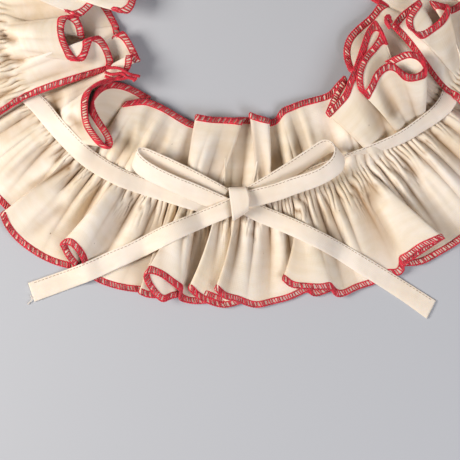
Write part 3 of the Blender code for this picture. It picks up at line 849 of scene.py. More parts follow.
    def painted_shade(self, place: np.ndarray, across: np.ndarray, middle: np.ndarray) -> np.ndarray:
        """How deep in a valley of the folds or in a dent the cloth lies, for the painted shade in its colour.

        Args:
            place: share along the gathering line, from 0 to 1.
            across: -1 at the inner edge, 0 on the gathering line and 1 at the outer edge.
            middle: the middle surface's points there.

        Returns:
            Values from 0 to 1 in one row.
        """
        share = np.abs(across)
        folds = self.gathers.fold(place * self.root_length, share * 0.5 * STRIP_WIDTH, across > 0.0)[1]
        calm = np.interp(self.root.start + (self.root.end - self.root.start) * place, *self.quiet)
        depth, smooth = self.dent(middle[..., 0], middle[..., 1], share)
        dented = np.clip(self.dent_shade_strength * depth, 0.0, self.dent_shade_limit)
        return np.clip((1.0 - smooth) * folds * calm + dented, 0.0, 1.0).astype(np.float32).ravel()

    def build(self, node: str) -> bpy.types.Object:
        """Builds the strip as a closed shell of the cloth's thickness, and dresses it.

        Args:
            node: the CAD node that it stands for.

        Returns:
            The piece.
        """
        rows = np.concatenate([
            -np.linspace(1.0, 0.0, self.inner_rows, endpoint=False) ** self.inner_power,
            np.linspace(0.0, 1.0, self.outer_rows) ** self.outer_power,
        ])
        place, across = np.meshgrid(self.column_places(), rows)
        middle = self.surface(place, across)
        points, faces = self.shell(middle)
        cloth = np.stack([place * self.cut_length() * MM, across * 0.5 * STRIP_WIDTH * MM], axis=-1)
        piece = add_piece(self.name, points, faces, Slot.CLOTH, np.tile(cloth.reshape(-1, 2), (2, 1)))
        # Painted shade: an attribute on the upper side that darkens valleys and dents in the colour; the
        # lower side gets none.
        painted_shade = self.painted_shade(place, across, middle)
        layer = piece.data.attributes.new("painted_shade", "FLOAT", "POINT")
        layer.data.foreach_set("value", np.concatenate([painted_shade, np.zeros_like(painted_shade)]))
        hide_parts(node)
        return piece

    def cut_length(self) -> float:
        """Length of the strip before it was gathered: its edges' mean, less what sewing stretched them."""
        edges = arc_length(self.outer.curve)[-1] + arc_length(self.inner.curve)[-1]
        return float(0.5 * edges / EDGE_STRETCH)


@dataclass
class Overlock:
    """The red overlock of one raw edge: a looped rail on the edge, a needle rail and slanted rungs.

    The depths say how far in the needle line lies, in the strip's own shares, along the edge.
    """

    strip: FrillStrip
    border: Border
    slant: float = 1.1
    loop_swell: float = 0.26
    loop_step: float = 0.5
    needle_step: float = 0.8
    rail_sides: int = 6
    rung_sides: int = 4
    long_probe: float = 0.01
    long_limits: tuple = (0.04, 0.2)
    long_smoothing: float = 5.0
    end_probe: float = 0.004
    end_limits: tuple = (0.002, 0.012)
    end_smoothing: float = 12.0
    path_smoothing: float = 1.2
    length: float = field(init=False)
    depths: np.ndarray = field(init=False)
    end_travel: np.ndarray = field(init=False)

    def __post_init__(self) -> None:
        """Measures the edge's length and the depths.

        A depth is the overlock's width over the cloth's real width for a whole share, square to the
        edge, kept within limits and smoothed.
        """
        if self.is_long():
            line, side = self.edge_line(), self.side()
            count = len(line.progress)
            edge = self.strip.surface(line.progress, np.full(count, side))
            back = self.strip.surface(line.progress, np.full(count, side * (1.0 - self.long_probe)))
            along = unit(np.gradient(edge, axis=0))
            over = (back - edge) / self.long_probe
            square = np.linalg.norm(over - (over * along).sum(axis=1)[:, None] * along, axis=1)
            limits, reach = self.long_limits, self.long_smoothing
            self.length = float(arc_length(line.curve)[-1])
        else:
            across, here = np.linspace(-1.0, 1.0, SAMPLES), self.end_place()
            edge = self.strip.surface(np.full(SAMPLES, here), across)
            back = self.strip.surface(np.full(SAMPLES, abs(here - self.end_probe)), across)
            square = np.linalg.norm(back - edge, axis=1) / self.end_probe
            limits, reach = self.end_limits, self.end_smoothing
            travelled = arc_length(edge)
            self.length = float(travelled[-1])
            self.end_travel = travelled / travelled[-1]
        self.depths = gaussian(np.clip(OVERLOCK_WIDTH / np.maximum(square, 1.0), *limits), reach)

    def is_long(self) -> bool:
        """Whether the edge is one of the strip's two long ones."""
        return self.border in (Border.OUTER, Border.INNER)

    def side(self) -> float:
        """The long edge's place across the strip."""
        return 1.0 if self.border is Border.OUTER else -1.0

    def edge_line(self) -> EdgeLine:
        """The strip's long edge that this one follows."""
        return self.strip.outer if self.border is Border.OUTER else self.strip.inner

    def end_place(self) -> float:
        """The strip's short end that this one follows, as a share of the gathering line."""
        return 0.0 if self.border is Border.START else 1.0

    def spot(self, share: np.ndarray, inward: np.ndarray) -> tuple[np.ndarray, np.ndarray]:
        """Where a point of the overlock is on the strip.

        Args:
            share: share of the edge's length.
            inward: 0 on the edge and 1 on the needle line.

        Returns:
            The strip's place and across.
        """
        travelled = np.linspace(0.0, 1.0, len(self.depths))
        depth = inward * np.interp(share, travelled, self.depths)
        if self.is_long():
            place = np.interp(share, travelled, self.edge_line().progress)
            return place, self.side() * (1.0 - depth)
        across = np.interp(share, self.end_travel, np.linspace(-1.0, 1.0, SAMPLES))
        return abs(self.end_place() - depth), across

    def build(self, name: str) -> bpy.types.Object:
        """Builds the rails and rungs on both faces of the cloth as one piece.

        Args:
            name: the piece's name.

        Returns:
            The piece.
        """
        parts = [self.rail(0.0, 0.0, LOOP_RAIL_RADIUS, self.loop_step, self.loop_swell)]
        for face in (1.0, -1.0):
            parts.append(self.rail(1.0, face, NEEDLE_RAIL_RADIUS, self.needle_step, 0.0))
            parts.append(self.rungs(face))
        points, faces = joined(parts)
        points[:, 2] = np.maximum(points[:, 2], THREAD_GAP)
        return add_piece(name, points, faces, Slot.RED)

    def rail(self, inward: float, face: float, radius: float, step: float,
             swell: float) -> tuple[np.ndarray, np.ndarray]:
        """A cord along the edge: the strip's points lifted off its face and smoothed.

        Args:
            inward: 0 on the edge and 1 on the needle line.
            face: 1 over the cloth, -1 under it and 0 on its middle surface.
            radius: the cord's mean radius.
            step: distance between its rings.
            swell: share by which a loop swells it, as a cosine over the rungs' pitch.

        Returns:
            Points and faces.
        """
        count = int(self.length / step)
        share = np.linspace(0.0, 1.0, count)
        place, across = self.spot(share, np.full(count, inward))
        normal = self.strip.normals(place, across)
        path = self.strip.surface(place, across) + face * (0.5 * CLOTH + 0.3 * radius) * normal
        path = np.stack([gaussian(column, self.path_smoothing) for column in path.T], axis=1)
        size = radius * (1.0 + swell * np.cos(2.0 * math.pi * share * self.length / RUNG_PITCH))
        return sweep(tube_rings(path[None], normal[None], size[None], self.rail_sides))

    def rungs(self, face: float) -> tuple[np.ndarray, np.ndarray]:
        """Short slanted cords from the needle line to the edge, arched over the cloth's face.

        Args:
            face: 1 over the cloth and -1 under it.

        Returns:
            Points and faces.
        """
        count = int(self.length / RUNG_PITCH)
        number = np.arange(count)
        start = (number + 0.5 + 0.22 * wobble(1.9 * number, 1.0 + face)) / count
        start = start * (1.0 - 2.0 * self.slant / self.length)
        slant = self.slant * (1.0 + 0.5 * wobble(1.3 * number, 3.0 + face)) / self.length
        step = np.linspace(0.0, 1.0, 4)
        share = np.clip(start[:, None] + step * slant[:, None], 0.0, 1.0)
        place, across = self.spot(share, np.broadcast_to(1.0 - step, share.shape))
        normal = self.strip.normals(place, across)
        arch = 0.5 * CLOTH + RUNG_RADIUS * (0.2 + 0.5 * np.sin(math.pi * step))
        path = self.strip.surface(place, across) + face * arch[:, None] * normal
        thick = RUNG_RADIUS * (1.0 + 0.25 * wobble(2.3 * number, 7.0 + face))[:, None]
        return sweep(tube_rings(path, face * normal, thick, self.rung_sides))


def search_tree(*pieces: bpy.types.Object) -> BVHTree:
    """A search tree over the faces of finished pieces, in metres.

    Args:
        pieces: pieces whose faces all have four sides.

    Returns:
        One tree over all of them.
    """
    parts = []
    for piece in pieces:
        points = np.empty(3 * len(piece.data.vertices), np.float32)
        piece.data.vertices.foreach_get("co", points)
        corners = np.empty(len(piece.data.loops), np.int32)
        piece.data.loops.foreach_get("vertex_index", corners)
        parts.append((points.reshape(-1, 3), corners.reshape(-1, 4)))
    points, faces = joined(parts)
    return BVHTree.FromPolygons(points.tolist(), faces.tolist())


def top_heights(tree: BVHTree, places: np.ndarray) -> np.ndarray:
    """Heights of the highest surface at places, or the floor's.

    Args:
        tree: the search tree of what lies there.
        places: rows of x and y in millimetres about the neck's middle.

    Returns:
        Millimetres, one for each place.
    """
    heights = []
    for x, y in (places + NECK) * MM:
        hit = tree.ray_cast(Vector((x, y, 1.0)), Vector((0.0, 0.0, -1.0)))[0]
        heights.append(hit.z / MM if hit else 0.0)
    return np.array(heights)


def tie_piece(name: str, node: str, rings: np.ndarray, distance: np.ndarray, reach: np.ndarray,
              closed: bool = False) -> bpy.types.Object:
    """Makes a stretch of the tie from its sections, with the weave along and across it.

    Args:
        name: the piece's name.
        node: the CAD node that it stands for.
        rings: sections by points of a section by x, y and z.
        distance: how far along the tie each section is.
        reach: how far across it each point of a section is, from -1 to 1.
        closed: whether the last section joins the first.

    Returns:
        The piece.
    """
    points, faces = sweep(rings[None], closed)
    cloth = np.stack(np.broadcast_arrays(distance[:, None], 0.5 * TIE_WIDTH * reach), axis=-1) * MM
    piece = add_piece(name, points, outward(points, faces), Slot.TIE, cloth.reshape(-1, 2))
    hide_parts(node)
    return piece


@dataclass
class TieStretch:
    """A stretch of the folded tie: a flat band between two lines, edge stitched along the first.

    A table's row is x, y and height of the first line, then of the second. The probes are where
    its own half of the band is felt for what lies below, as shares of the band's width.
    """

    name: str
    table: tuple
    rest: Rest
    step: float = 0.8
    section: int = 20
    blunt_power: float = 0.25
    stitch_sides: int = 6
    probes: tuple = (0.03, 0.14, 0.25, 0.36, 0.47)
    neighbours: int = 4

    def lines(self, below: BVHTree | None) -> np.ndarray:
        """Both lines at evenly spaced stations, laid on what is below or at their own heights.

        A laid line takes the greatest height of the cloth under its half of the band, then the
        greatest and the mean of its neighbours, and stays under its table's height.

        Args:
            below: the pieces that it is laid on.

        Returns:
            Rows of x, y and z of the first line, then of the second.
        """
        rows = np.array(self.table, float)
        first, second = from_plan(rows[:, :3]), from_plan(rows[:, 3:])
        both = corner_cut(np.hstack([first, second]), 3)
        middle = 0.5 * (both[:, :3] + both[:, 3:])
        spaced = even_spacing(np.hstack([middle, both]), int(arc_length(middle)[-1] / self.step))[:, 3:]
        if self.rest is Rest.LAID:
            shares = np.array(self.probes)
            spaced[:, 2] = self.laid(spaced, below, shares, spaced[:, 2])
            spaced[:, 5] = self.laid(spaced, below, 1.0 - shares, spaced[:, 5])
        return spaced

    def laid(self, spaced: np.ndarray, below: BVHTree, shares: np.ndarray, limit: np.ndarray) -> np.ndarray:
        """Heights of one line, laid on what is below.

        Args:
            spaced: rows of both lines.
            below: the pieces that it is laid on.
            shares: where the band is felt for them, from the first line to the second.
            limit: the line's greatest heights.

        Returns:
            Its new heights.
        """
        tops = np.max([
            top_heights(below, spaced[:, :2] * (1.0 - share) + spaced[:, 3:5] * share)
            for share in shares
        ], axis=0)
        padded = np.pad(tops, self.neighbours, mode="edge")
        tops = np.lib.stride_tricks.sliding_window_view(padded, 2 * self.neighbours + 1).max(axis=1)
        return np.minimum(gaussian(tops, self.neighbours) + 0.5 * TIE_THICKNESS, limit)

    def frame_of(self, lines: np.ndarray) -> tuple[np.ndarray, np.ndarray, np.ndarray]:
        """The band's own directions at each station.

        Args:
            lines: rows of both lines.

        Returns:
            Its middle line, half its width vector and its unit normal.
        """
        middle = 0.5 * (lines[:, :3] + lines[:, 3:])
        half = 0.5 * (lines[:, :3] - lines[:, 3:])
        along = np.gradient(middle, axis=0)
        normal = unit(np.cross(along, half))
        return middle, half, normal

    def build(self, node: str, below: BVHTree | None = None) -> bpy.types.Object:
        """The section is a blunt flat one: the cosine to a low power across, the sine up, with a groove
        along the stitches and a slight crinkle.

        Args:
            node: the CAD node that it stands for.
            below: the pieces that it is laid on.

        Returns:
            The band.
        """
        middle, half, normal = self.frame_of(self.lines(below))
        distance = arc_length(middle)
        turn = ring_angles(self.section)
        reach = blunt(np.cos(turn), self.blunt_power)
        groove = 1.0 - 0.3 * np.exp(-((reach - 0.8) / 0.1) ** 2)
        crinkle = 0.1 * wobble(distance[:, None] / 2.4, 3.0 * len(self.name) + 2.0 * reach)
        tall = 0.5 * TIE_THICKNESS * np.sin(turn) * groove + crinkle
        rings = middle[:, None] + reach[:, None] * half[:, None]
        rings = rings + tall[:, :, None] * normal[:, None]
        rings[:, :, 2] = np.maximum(rings[:, :, 2], THREAD_GAP)
        band = tie_piece(self.name, node, rings, distance, reach)
        stitches = self.stitches(middle, half, normal, distance)
        return band

    def stitches(self, middle: np.ndarray, half: np.ndarray, normal: np.ndarray,
                 distance: np.ndarray) -> bpy.types.Object:
        """Short threads in a row near the first edge, sunk a little, on both faces of the band.

        Args:
            middle: the band's middle line.
            half: half its width vector at each station.
            normal: its unit normal there.
            distance: how far along the band each station is.

        Returns:
            The piece.
        """
        count = max(int(distance[-1] / STITCH_PITCH) - 1, 2)
        start = (np.arange(count) + 0.4) * STITCH_PITCH
        along = start[:, None] + np.linspace(0.0, STITCH_LENGTH, 5)
        seam = middle + (1.0 - STITCH_INSET / (0.5 * TIE_WIDTH)) * half
        dip = np.array([-0.1, 0.04, 0.07, 0.04, -0.1])
        parts = []
        for face in (1.0, -1.0):
            up = face * read_at(along, distance, normal)
            path = read_at(along, distance, seam) + (0.36 * TIE_THICKNESS + dip)[:, None] * up
            parts.append(sweep(tube_rings(path, up, STITCH_RADIUS, self.stitch_sides)))
        return add_piece(self.name + "_stitches", *joined(parts), Slot.SEAM)


@dataclass
class Knot:
    """The bow's knot: the tie wrapped once round itself, longer down its left edge.

    Each edge's row is x at the top, middle and bottom, then y at the top and bottom, on the plan.
    """

    left: tuple = (228.3, 230.6, 232.6, 187.5, 220.6)
    right: tuple = (247.2, 250.0, 249.4, 187.0, 209.0)
    bottom: float = 6.2
    top: float = 15.2
    along_power: float = 0.55
    rise_power: float = 0.6
    across_power: float = 0.25
    stations: int = 96
    section: int = 28

    def edge(self, row: tuple) -> np.ndarray:
        """An edge of the band: a flattened ring, cosine along y and sine up, both to a power below one.

        Args:
            row: the edge's x and y on the plan.

        Returns:
            x, y and z about the neck, at stations round the ring.
        """
        turn = ring_angles(self.stations, 0.0)
        along = blunt(np.cos(turn), self.along_power)
        rise = blunt(np.sin(turn), self.rise_power)
        y = 0.5 * (row[3] + row[4]) - 0.5 * (row[4] - row[3]) * along
        x = np.interp(-along, (-1.0, 0.0, 1.0), row[:3])
        height = 0.5 * (self.bottom + self.top) + 0.5 * (self.top - self.bottom) * rise
        return from_plan(np.stack([x, y, height], axis=1))

    def build(self, node: str) -> bpy.types.Object:
        """Builds the wrap as a closed band between its edges, with thick seamed edges and creases.

        Args:
            node: the CAD node that it stands for.

        Returns:
            The wrap.
        """
        left, right = self.edge(self.left), self.edge(self.right)
        middle = 0.5 * (left + right)
        along = unit(np.roll(middle, -1, axis=0) - np.roll(middle, 1, axis=0))
        normal = unit(np.cross(right - left, along))
        normal *= np.sign((normal * (middle - middle.mean(axis=0))).sum(axis=1))[:, None]
        angle = ring_angles(self.section)
        reach = blunt(np.cos(angle), self.across_power)
        turn = ring_angles(self.stations, 0.0)[:, None]
        seam = 0.16 * np.exp(-((np.abs(reach) - 0.9) / 0.12) ** 2) - 0.3 * np.abs(reach) ** 8
        crease = 0.25 * np.sin(4.0 * reach + 2.5 * np.sin(turn + 0.6)) * (1.0 - reach ** 4)
        tall = 0.45 * np.sin(angle) + seam + crease
        share = (0.5 + 0.5 * reach)[None, :, None]
        rings = (1.0 - share) * left[:, None] + share * right[:, None] + tall[:, :, None] * normal[:, None]
        distance = arc_length(middle)
        wrap = tie_piece("knot_wrap", node, rings, distance, reach, closed=True)
        return wrap


@dataclass
class ThreadTail:
    """A loose end of thread: strands twisted about a smooth line through its table's places."""

    name: str
    table: tuple
    slot: Slot
    strands: int = 3
    radius: float = 0.4
    twist: float = 3.6
    spread: float = 0.5
    step: float = 0.3
    sides: int = 6

    def build(self) -> bpy.types.Object:
        """Builds the strands, each a helix about the line: sine and cosine of its distance.

        Returns:
            The piece.
        """
        line = corner_cut(from_plan(self.table))
        line = even_spacing(line, int(arc_length(line)[-1] / self.step))
        distance = arc_length(line)
        along = unit(np.gradient(line, axis=0))
        upright = np.array([0.0, 0.0, 1.0])
        side = unit(np.cross(along, upright))
        up = np.cross(side, along)
        phase = 2.0 * math.pi * (distance / self.twist + np.arange(self.strands)[:, None] / self.strands)
        paths = line + self.spread * (np.cos(phase)[:, :, None] * side + np.sin(phase)[:, :, None] * up)
        ups = np.broadcast_to(upright, paths.shape)
        points, faces = sweep(tube_rings(paths, ups, self.radius, self.sides))
        return add_piece(self.name, points, faces, self.slot)


@dataclass(frozen=True)
class Lamp:
    """A square area light that faces the collar's front: metres, watts and an sRGB hex colour."""

    name: str
    place: tuple
    size: float
    power: float
    colour: str
    target: tuple = (0.0, -0.1, 0.0)

    def build(self) -> None:
        """Makes the light."""
        data = bpy.data.lights.new(self.name, "AREA")
        data.size = self.size
        data.energy = self.power
        data.color = linear(self.colour)[:3]
        lamp = bpy.data.objects.new(self.name, data)
        lamp.location = self.place
        aim = Vector(self.target) - Vector(self.place)
        lamp.rotation_euler = aim.to_track_quat("-Z", "Y").to_euler()
        bpy.context.scene.collection.objects.link(lamp)


@dataclass
class Studio:
    """A plain pale floor, light from the left and the right front, and a camera above the front.

    The eye's foot is in the part's own frame. Lengths are millimetres where no metres are named.
    """

    eye_foot: tuple = (-5.3, -126.2)
    sensor: float = 36.0
    near_metres: float = 0.05
    sharp_height: float = 5.0
    floor_metres: float = 3.0
    floor_gap: float = 0.2
    world_colour: str = "#F6F0EA"
    world_strength: float = 0.16
    lamps: tuple = (
        Lamp("key", (-0.82, -0.1, 0.6), 0.45, 11.0, "#FFF9F4"),
        Lamp("fill", (0.6, -0.65, 0.75), 0.6, 6.8, "#F6F6FF"),
    )

    def build(self) -> None:
        """Makes the camera, the floor, the lights and the world."""
        self.camera()
        self.floor()
        for lamp in self.lamps:
            lamp.build()
        world = bpy.data.worlds.new("studio")
        world.use_nodes = True
        background = world.node_tree.nodes["Background"]
        background.inputs["Color"].default_value = linear(self.world_colour)
        background.inputs["Strength"].default_value = self.world_strength
        bpy.context.scene.world = world
        bpy.context.scene.view_settings.view_transform = "Standard"

    def camera(self) -> None:
        """A camera at the eye, whose field is the plan's at the cloth's mean height."""
        camera = bpy.data.objects.new("camera", bpy.data.cameras.new("camera"))
        camera.data.sensor_width = self.sensor
        camera.data.lens = self.sensor * (EYE_HEIGHT - self.sharp_height) / (PLAN_FIELD * PLAN_UNIT)
        camera.data.clip_start = self.near_metres
        camera.location = (self.eye_foot[0] * MM, self.eye_foot[1] * MM, EYE_HEIGHT * MM)
        bpy.context.scene.collection.objects.link(camera)
        bpy.context.scene.camera = camera

    def floor(self) -> None:
        """A large flat sheet of pale grey card just under the collar."""
        mesh = bpy.data.meshes.new("floor")
        half, height = 0.5 * self.floor_metres, -self.floor_gap * MM
        corners = [(-half, -half, height), (half, -half, height), (half, half, height), (-half, half, height)]
        mesh.from_pydata(corners, [], [(0, 1, 2, 3)])
        floor = bpy.data.objects.new("floor", mesh)
        bpy.context.scene.collection.objects.link(floor)
        # Pale grey card: matt, so that the shadows stay soft and nothing shines beside the cloth.
        paint = {"Base Color": linear("#BBBEC2"), "Roughness": 0.9}
        mesh.materials.append(new_material("pale_grey_floor", paint)[0])


# The front frill's raw edges, left to right on the plan: x, y, height, thickness of a turn.
FRONT_OUTER = (
    (-55, -7, 1.2, 0), (-62, 56, 1.0, 0), (-55, 109, 1.0, 0), (-24, 178, 1.0, 0), (4, 209, 1.0, 0),
    (22, 227, 1.6, 2.2), (-1, 214, 6.0, 2.4), (3, 226, 5.0, 0), (14, 240, 3.4, 0), (28, 251, 2.0, 0),
    (43, 260, 1.2, 0), (58, 266, 1.0, 0), (77, 270, 1.8, 2.4), (66, 259, 7.0, 0), (59, 245, 11.0, 3.0),
    (67, 243, 13.4, 0), (75, 250, 12.0, 0), (81, 260, 8.6, 0), (83, 268, 5.0, 0), (88, 276, 2.6, 0),
    (98, 283, 1.4, 0),
    (116, 289, 1.0, 0), (134, 292, 1.0, 0), (155, 292, 1.4, 2.0), (138, 293.5, 4.6, 2.2),
    (147, 298, 3.6, 0), (160, 298, 2.8, 0), (177, 297, 2.4, 2.4), (169, 299, 5.0, 0),
    (162, 303.5, 6.6, 0), (153, 295, 8.4, 0), (145, 284, 10.6, 0), (142.5, 274, 12.6, 0),
    (151, 273, 13.6, 0), (160, 276, 13.4, 0), (169, 283, 12.2, 0), (177, 289, 10.4, 0),
    (182, 294, 7.6, 0), (177, 300, 3.8, 0), (188, 303.5, 1.8, 0), (199, 304, 1.2, 0),
    (208, 303, 1.2, 0), (224, 304, 1.8, 2.2), (188, 289, 6.6, 2.6), (196, 298, 5.2, 0),
    (206, 303, 3.6, 0), (217, 307, 2.2, 0), (227, 308, 1.8, 0), (240, 304, 2.2, 2.4),
    (215, 290, 8.4, 2.8), (223, 299, 6.6, 0), (236, 301, 4.8, 0), (245, 305, 3.0, 0),
    (254, 308, 2.0, 0), (263, 307, 1.6, 0), (273, 304, 1.4, 0), (287, 301, 1.2, 0),
    (301, 295, 1.0, 0), (308, 291, 1.0, 0), (314, 297, 1.2, 0), (322, 295, 1.4, 0),
    (337, 289, 2.2, 2.4), (283, 280, 7.0, 3.4), (291, 288, 7.6, 0), (308, 289, 7.8, 0),
    (321, 290, 7.2, 0), (332, 289, 6.4, 0), (336, 297, 4.0, 0), (344, 297, 2.2, 0),
    (357, 290, 1.6, 0), (366, 287, 1.2, 0), (376, 284, 1.2, 0), (386, 277, 1.2, 0),
    (393, 274, 1.4, 0), (400, 276, 1.8, 0), (406, 271, 2.8, 0), (404, 263, 4.6, 0),
    (414, 255, 6.6, 0), (423, 248, 8.0, 0), (434, 243, 9.0, 0), (446, 238, 8.4, -2.8),
    (404, 266, 3.4, -2.6), (423, 265, 1.4, 0), (437, 257, 1.2, 0), (451, 249, 1.0, 0),
    (462, 242, 1.0, 0), (484, 224, 1.0, 0), (502, 180, 1.0, 0), (526, 119, 1.0, 0),
    (536, 56, 1.0, 0), (529, -7, 1.2, 0),
)
FRONT_INNER = (
    (98, -4, 1.2, 0), (107, 5, 1.4, 0), (117, 24, 2.6, 2.0), (123, 58, 3.4, 2.4), (118, 34, 5.4, 2.2),
    (122, 28, 6.6, 0), (131, 42, 7.4, 0), (139, 59, 8.0, 2.6), (130, 49, 10.4, 0), (131, 64, 11.0, 0),
    (122, 76, 13.0, 0), (104, 78, 15.6, 0), (92, 84, 18.0, 0), (86.5, 95, 19.4, 0),
    (85.5, 108, 20.0, 0), (87, 122, 19.4, 0), (94, 133, 18.6, 0), (103, 144, 17.6, 0),
    (110, 149, 15.6, 0), (112, 140, 14.8, 0), (106, 129, 16.0, 0), (97.5, 117, 17.0, 0),
    (92, 105, 17.4, 0), (92.5, 95, 16.4, 0), (98, 86, 14.4, 0), (105, 82, 11.6, 0), (114, 81, 8.4, 0),
    (127, 84, 5.2, 0), (137, 89, 3.0, 0), (150, 96, 2.2, 2.2), (125, 101, 5.4, 2.2),
    (145, 98, 6.6, 0), (154, 101, 5.8, 0), (165, 106, 4.4, 0), (181, 116, 2.6, 0), (193, 123, 1.4, 0),
    (214, 122, 2.0, 2.4), (196, 114, 6.0, 2.8), (212, 117, 6.6, 0), (228, 117, 6.4, 0),
    (242, 119, 5.4, -2.8), (224, 118, 2.0, -2.2), (245, 116.5, 1.0, 0), (264, 119, 2.0, 2.4),
    (250, 112, 5.4, 3.0), (258, 115, 6.0, 0), (269, 118, 5.0, -2.8), (257, 120, 2.0, -2.2),
    (276, 120, 1.2, 0), (281, 108, 3.4, 0), (292, 104, 3.0, 0), (302, 100, 2.6, 0),
    (318, 96, 2.4, 0), (330, 92.5, 3.4, 0), (338, 82, 5.6, 0), (345, 75, 7.0, 3.0),
    (336, 90, 9.0, 0), (327, 112, 10.0, 3.4), (335, 104, 12.4, 0), (346, 92, 13.6, 0),
    (349, 80, 14.4, 0), (354, 70, 14.4, 0), (362, 46, 11.6, 0), (368, 28, 9.4, 0),
    (376, 19, 8.6, 2.0), (383, 29, 9.4, 0), (376, 43, 11.6, 0), (364, 55, 13.8, 0),
    (358, 70, 15.4, 0), (358, 84, 15.6, 0), (363, 94, 15.6, 0), (371, 85, 17.4, 0),
    (375, 73, 18.6, 0), (384, 64, 19.4, 0), (394, 61, 20.0, 0), (402, 69, 20.0, 0),
    (412, 75, 19.6, 0), (424, 71, 19.4, 0), (428, 61, 19.0, 0), (421, 52, 18.4, 0),
    (409, 50, 17.2, 0), (399, 54, 15.6, 0), (386, 61, 12.0, 0), (366, 68, 7.6, 0),
    (350, 69, 5.8, -2.4), (344, 54, 5.4, 0), (347, 37, 5.2, 0), (358, 25, 4.6, 0),
    (371, 15, 3.6, 0), (380, 2, 2.6, -2.4), (366, -6, 1.4, 0), (360, -20, 1.2, 0),
)
# The back frill's raw edges at its two ends, in the order right, back, left.
BACK_OUTER_START = (
    (499.6, 189.6, 1.0, 0), (530, 140, 1.0, 0), (552, 82, 1.0, 0), (560, 40, 1.2, 0),
)
BACK_OUTER_END = (
    (-88, 40, 1.2, 0), (-78, 84, 1.0, 0), (-60, 138, 1.0, 0), (-49, 156, 1.0, 0),
)
BACK_INNER_START = (
    (392, 27, 2.6, 0), (397, 18, 3.4, 0), (404, 11, 4.4, 0), (419, 0, 6.0, 2.4), (409, 13, 8.4, 0),
    (406, 20, 9.0, 0), (408, 28, 9.2, 0), (415, 32, 9.2, 0), (423, 32, 9.0, 0), (431, 27, 8.6, 0),
    (439, 21, 8.2, 0), (444, 14, 8.0, 0), (448, 5, 6.6, -2.4), (430, 1, 4.4, -2.0), (440, 10, 3.2, 0),
    (452, 8, 2.4, 0), (462, 1, 1.8, 0), (468, -12, 1.6, 0),
)
BACK_INNER_END = (
    (134, -22, 4.0, 2.0), (136, -4, 6.6, 0), (134, 6, 7.4, 0), (127, 15, 8.0, 0), (119, 8, 7.6, 0),
    (110, -4, 6.8, 0), (103, -16, 5.4, 2.0), (97, 0, 6.6, 0), (88, 10, 8.0, 0), (78, 18, 8.6, 0),
    (70, 8, 8.0, 0), (66, -8, 7.0, -2.4), (76, 10, 4.4, 0), (84, 38, 2.6, 2.4), (82, 26, 5.4, 0),
    (77, 17, 7.2, 0), (70, 15, 8.4, 0), (64, 21, 9.0, 0), (62.5, 31, 9.4, 0), (66, 44, 9.6, 0),
    (74, 57, 9.6, 0), (81, 62, 9.4, 0), (86, 57, 9.2, 0), (89, 47, 8.6, 0), (92, 38, 7.8, 0),
    (99, 35, 6.8, 0), (105, 42, 5.8, 0), (110, 52, 4.6, 0), (113, 62, 3.4, 0), (110, 69, 2.6, 0),
)
# Beside the gathering lines: angle from the centre front, height, puff and power of the rise.
FRONT_LEVELS = (
    (-92.0, 2.6, 0.0, 4.0), (-66.0, 2.6, 0.0, 4.0), (-58.0, 3.0, 2.6, 1.0), (58.0, 3.0, 2.6, 1.0),
    (66.0, 2.6, 0.0, 1.0), (70.0, 2.6, 0.0, 4.0), (92.0, 2.6, 0.0, 4.0),
)
BACK_BASE = 3.0
BACK_LEVELS = (
    (66.6, 7.6, 0.4, 1.0), (94.0, 7.6, 0.6, 1.0), (112.0, BACK_BASE, 2.0, 1.0),
    (248.0, BACK_BASE, 2.0, 1.0), (266.0, 7.6, 0.6, 1.0), (294.5, 7.6, 0.4, 1.0),
)
# How strong the folds are: angles, then shares. The front frill's are low where it is covered.
FRONT_QUIET = ((-92.0, -68.0, -60.0, 62.0, 70.0, 92.0), (0.2, 0.3, 1.0, 1.0, 0.3, 0.2))
BACK_QUIET = ((66.6, 100.0, 260.0, 294.5), (0.9, 1.0, 1.0, 0.9))
# Places on the front's inner edge, x, y and height, and the angle of the gathers that feed each.
FRONT_PINS = ((327, 112, 10.0, 41.5), (363, 94, 15.6, 50.5), (428, 61, 19.0, 59.0))

# Dents and, where the depth is negative, bulges: plan x and y and half width of one end, then x, y
# and depth of the other.
FRONT_DENTS = (
    (379, 88, 3.4, 391, 112, 4.8), (34, 232, 3.2, 62, 208, 3.6), (370, 198, 2.4, 396, 248, 3.6),
    (366, 188, 3.0, 378, 198, 3.4), (410, 190, 2.0, 440, 230, 3.0), (386, 200, 6.0, 424, 232, -3.0),
    (426, 180, 4.6, 454, 214, -1.8), (20, 224, 5.5, 56, 194, -1.8), (84, 238, 5.0, 110, 196, -1.8),
    (140, 108, 4.0, 137, 148, -1.0), (178, 120, 4.4, 170, 152, -1.0), (316, 104, 5.4, 318, 146, -1.0),
    (346, 112, 5.0, 372, 138, -1.2), (2, 150, 6.0, 36, 132, -1.6), (6, 178, 2.4, 42, 145, 3.0),
    (14, 194, 4.0, 50, 164, -1.2), (30, 186, 2.2, 70, 166, 2.6), (53, 92, 3.0, 58, 113, 4.6),
    (70, 92, 3.4, 67, 112, -2.2), (73, 119, 2.6, 84, 125, 4.6),
)
BACK_DENTS = ((5, 36, 2.2, 17, 42, 4.0), (8, 57, 2.2, 23, 61, 4.0), (14, 50, 4.0, 26, 47, -2.4))

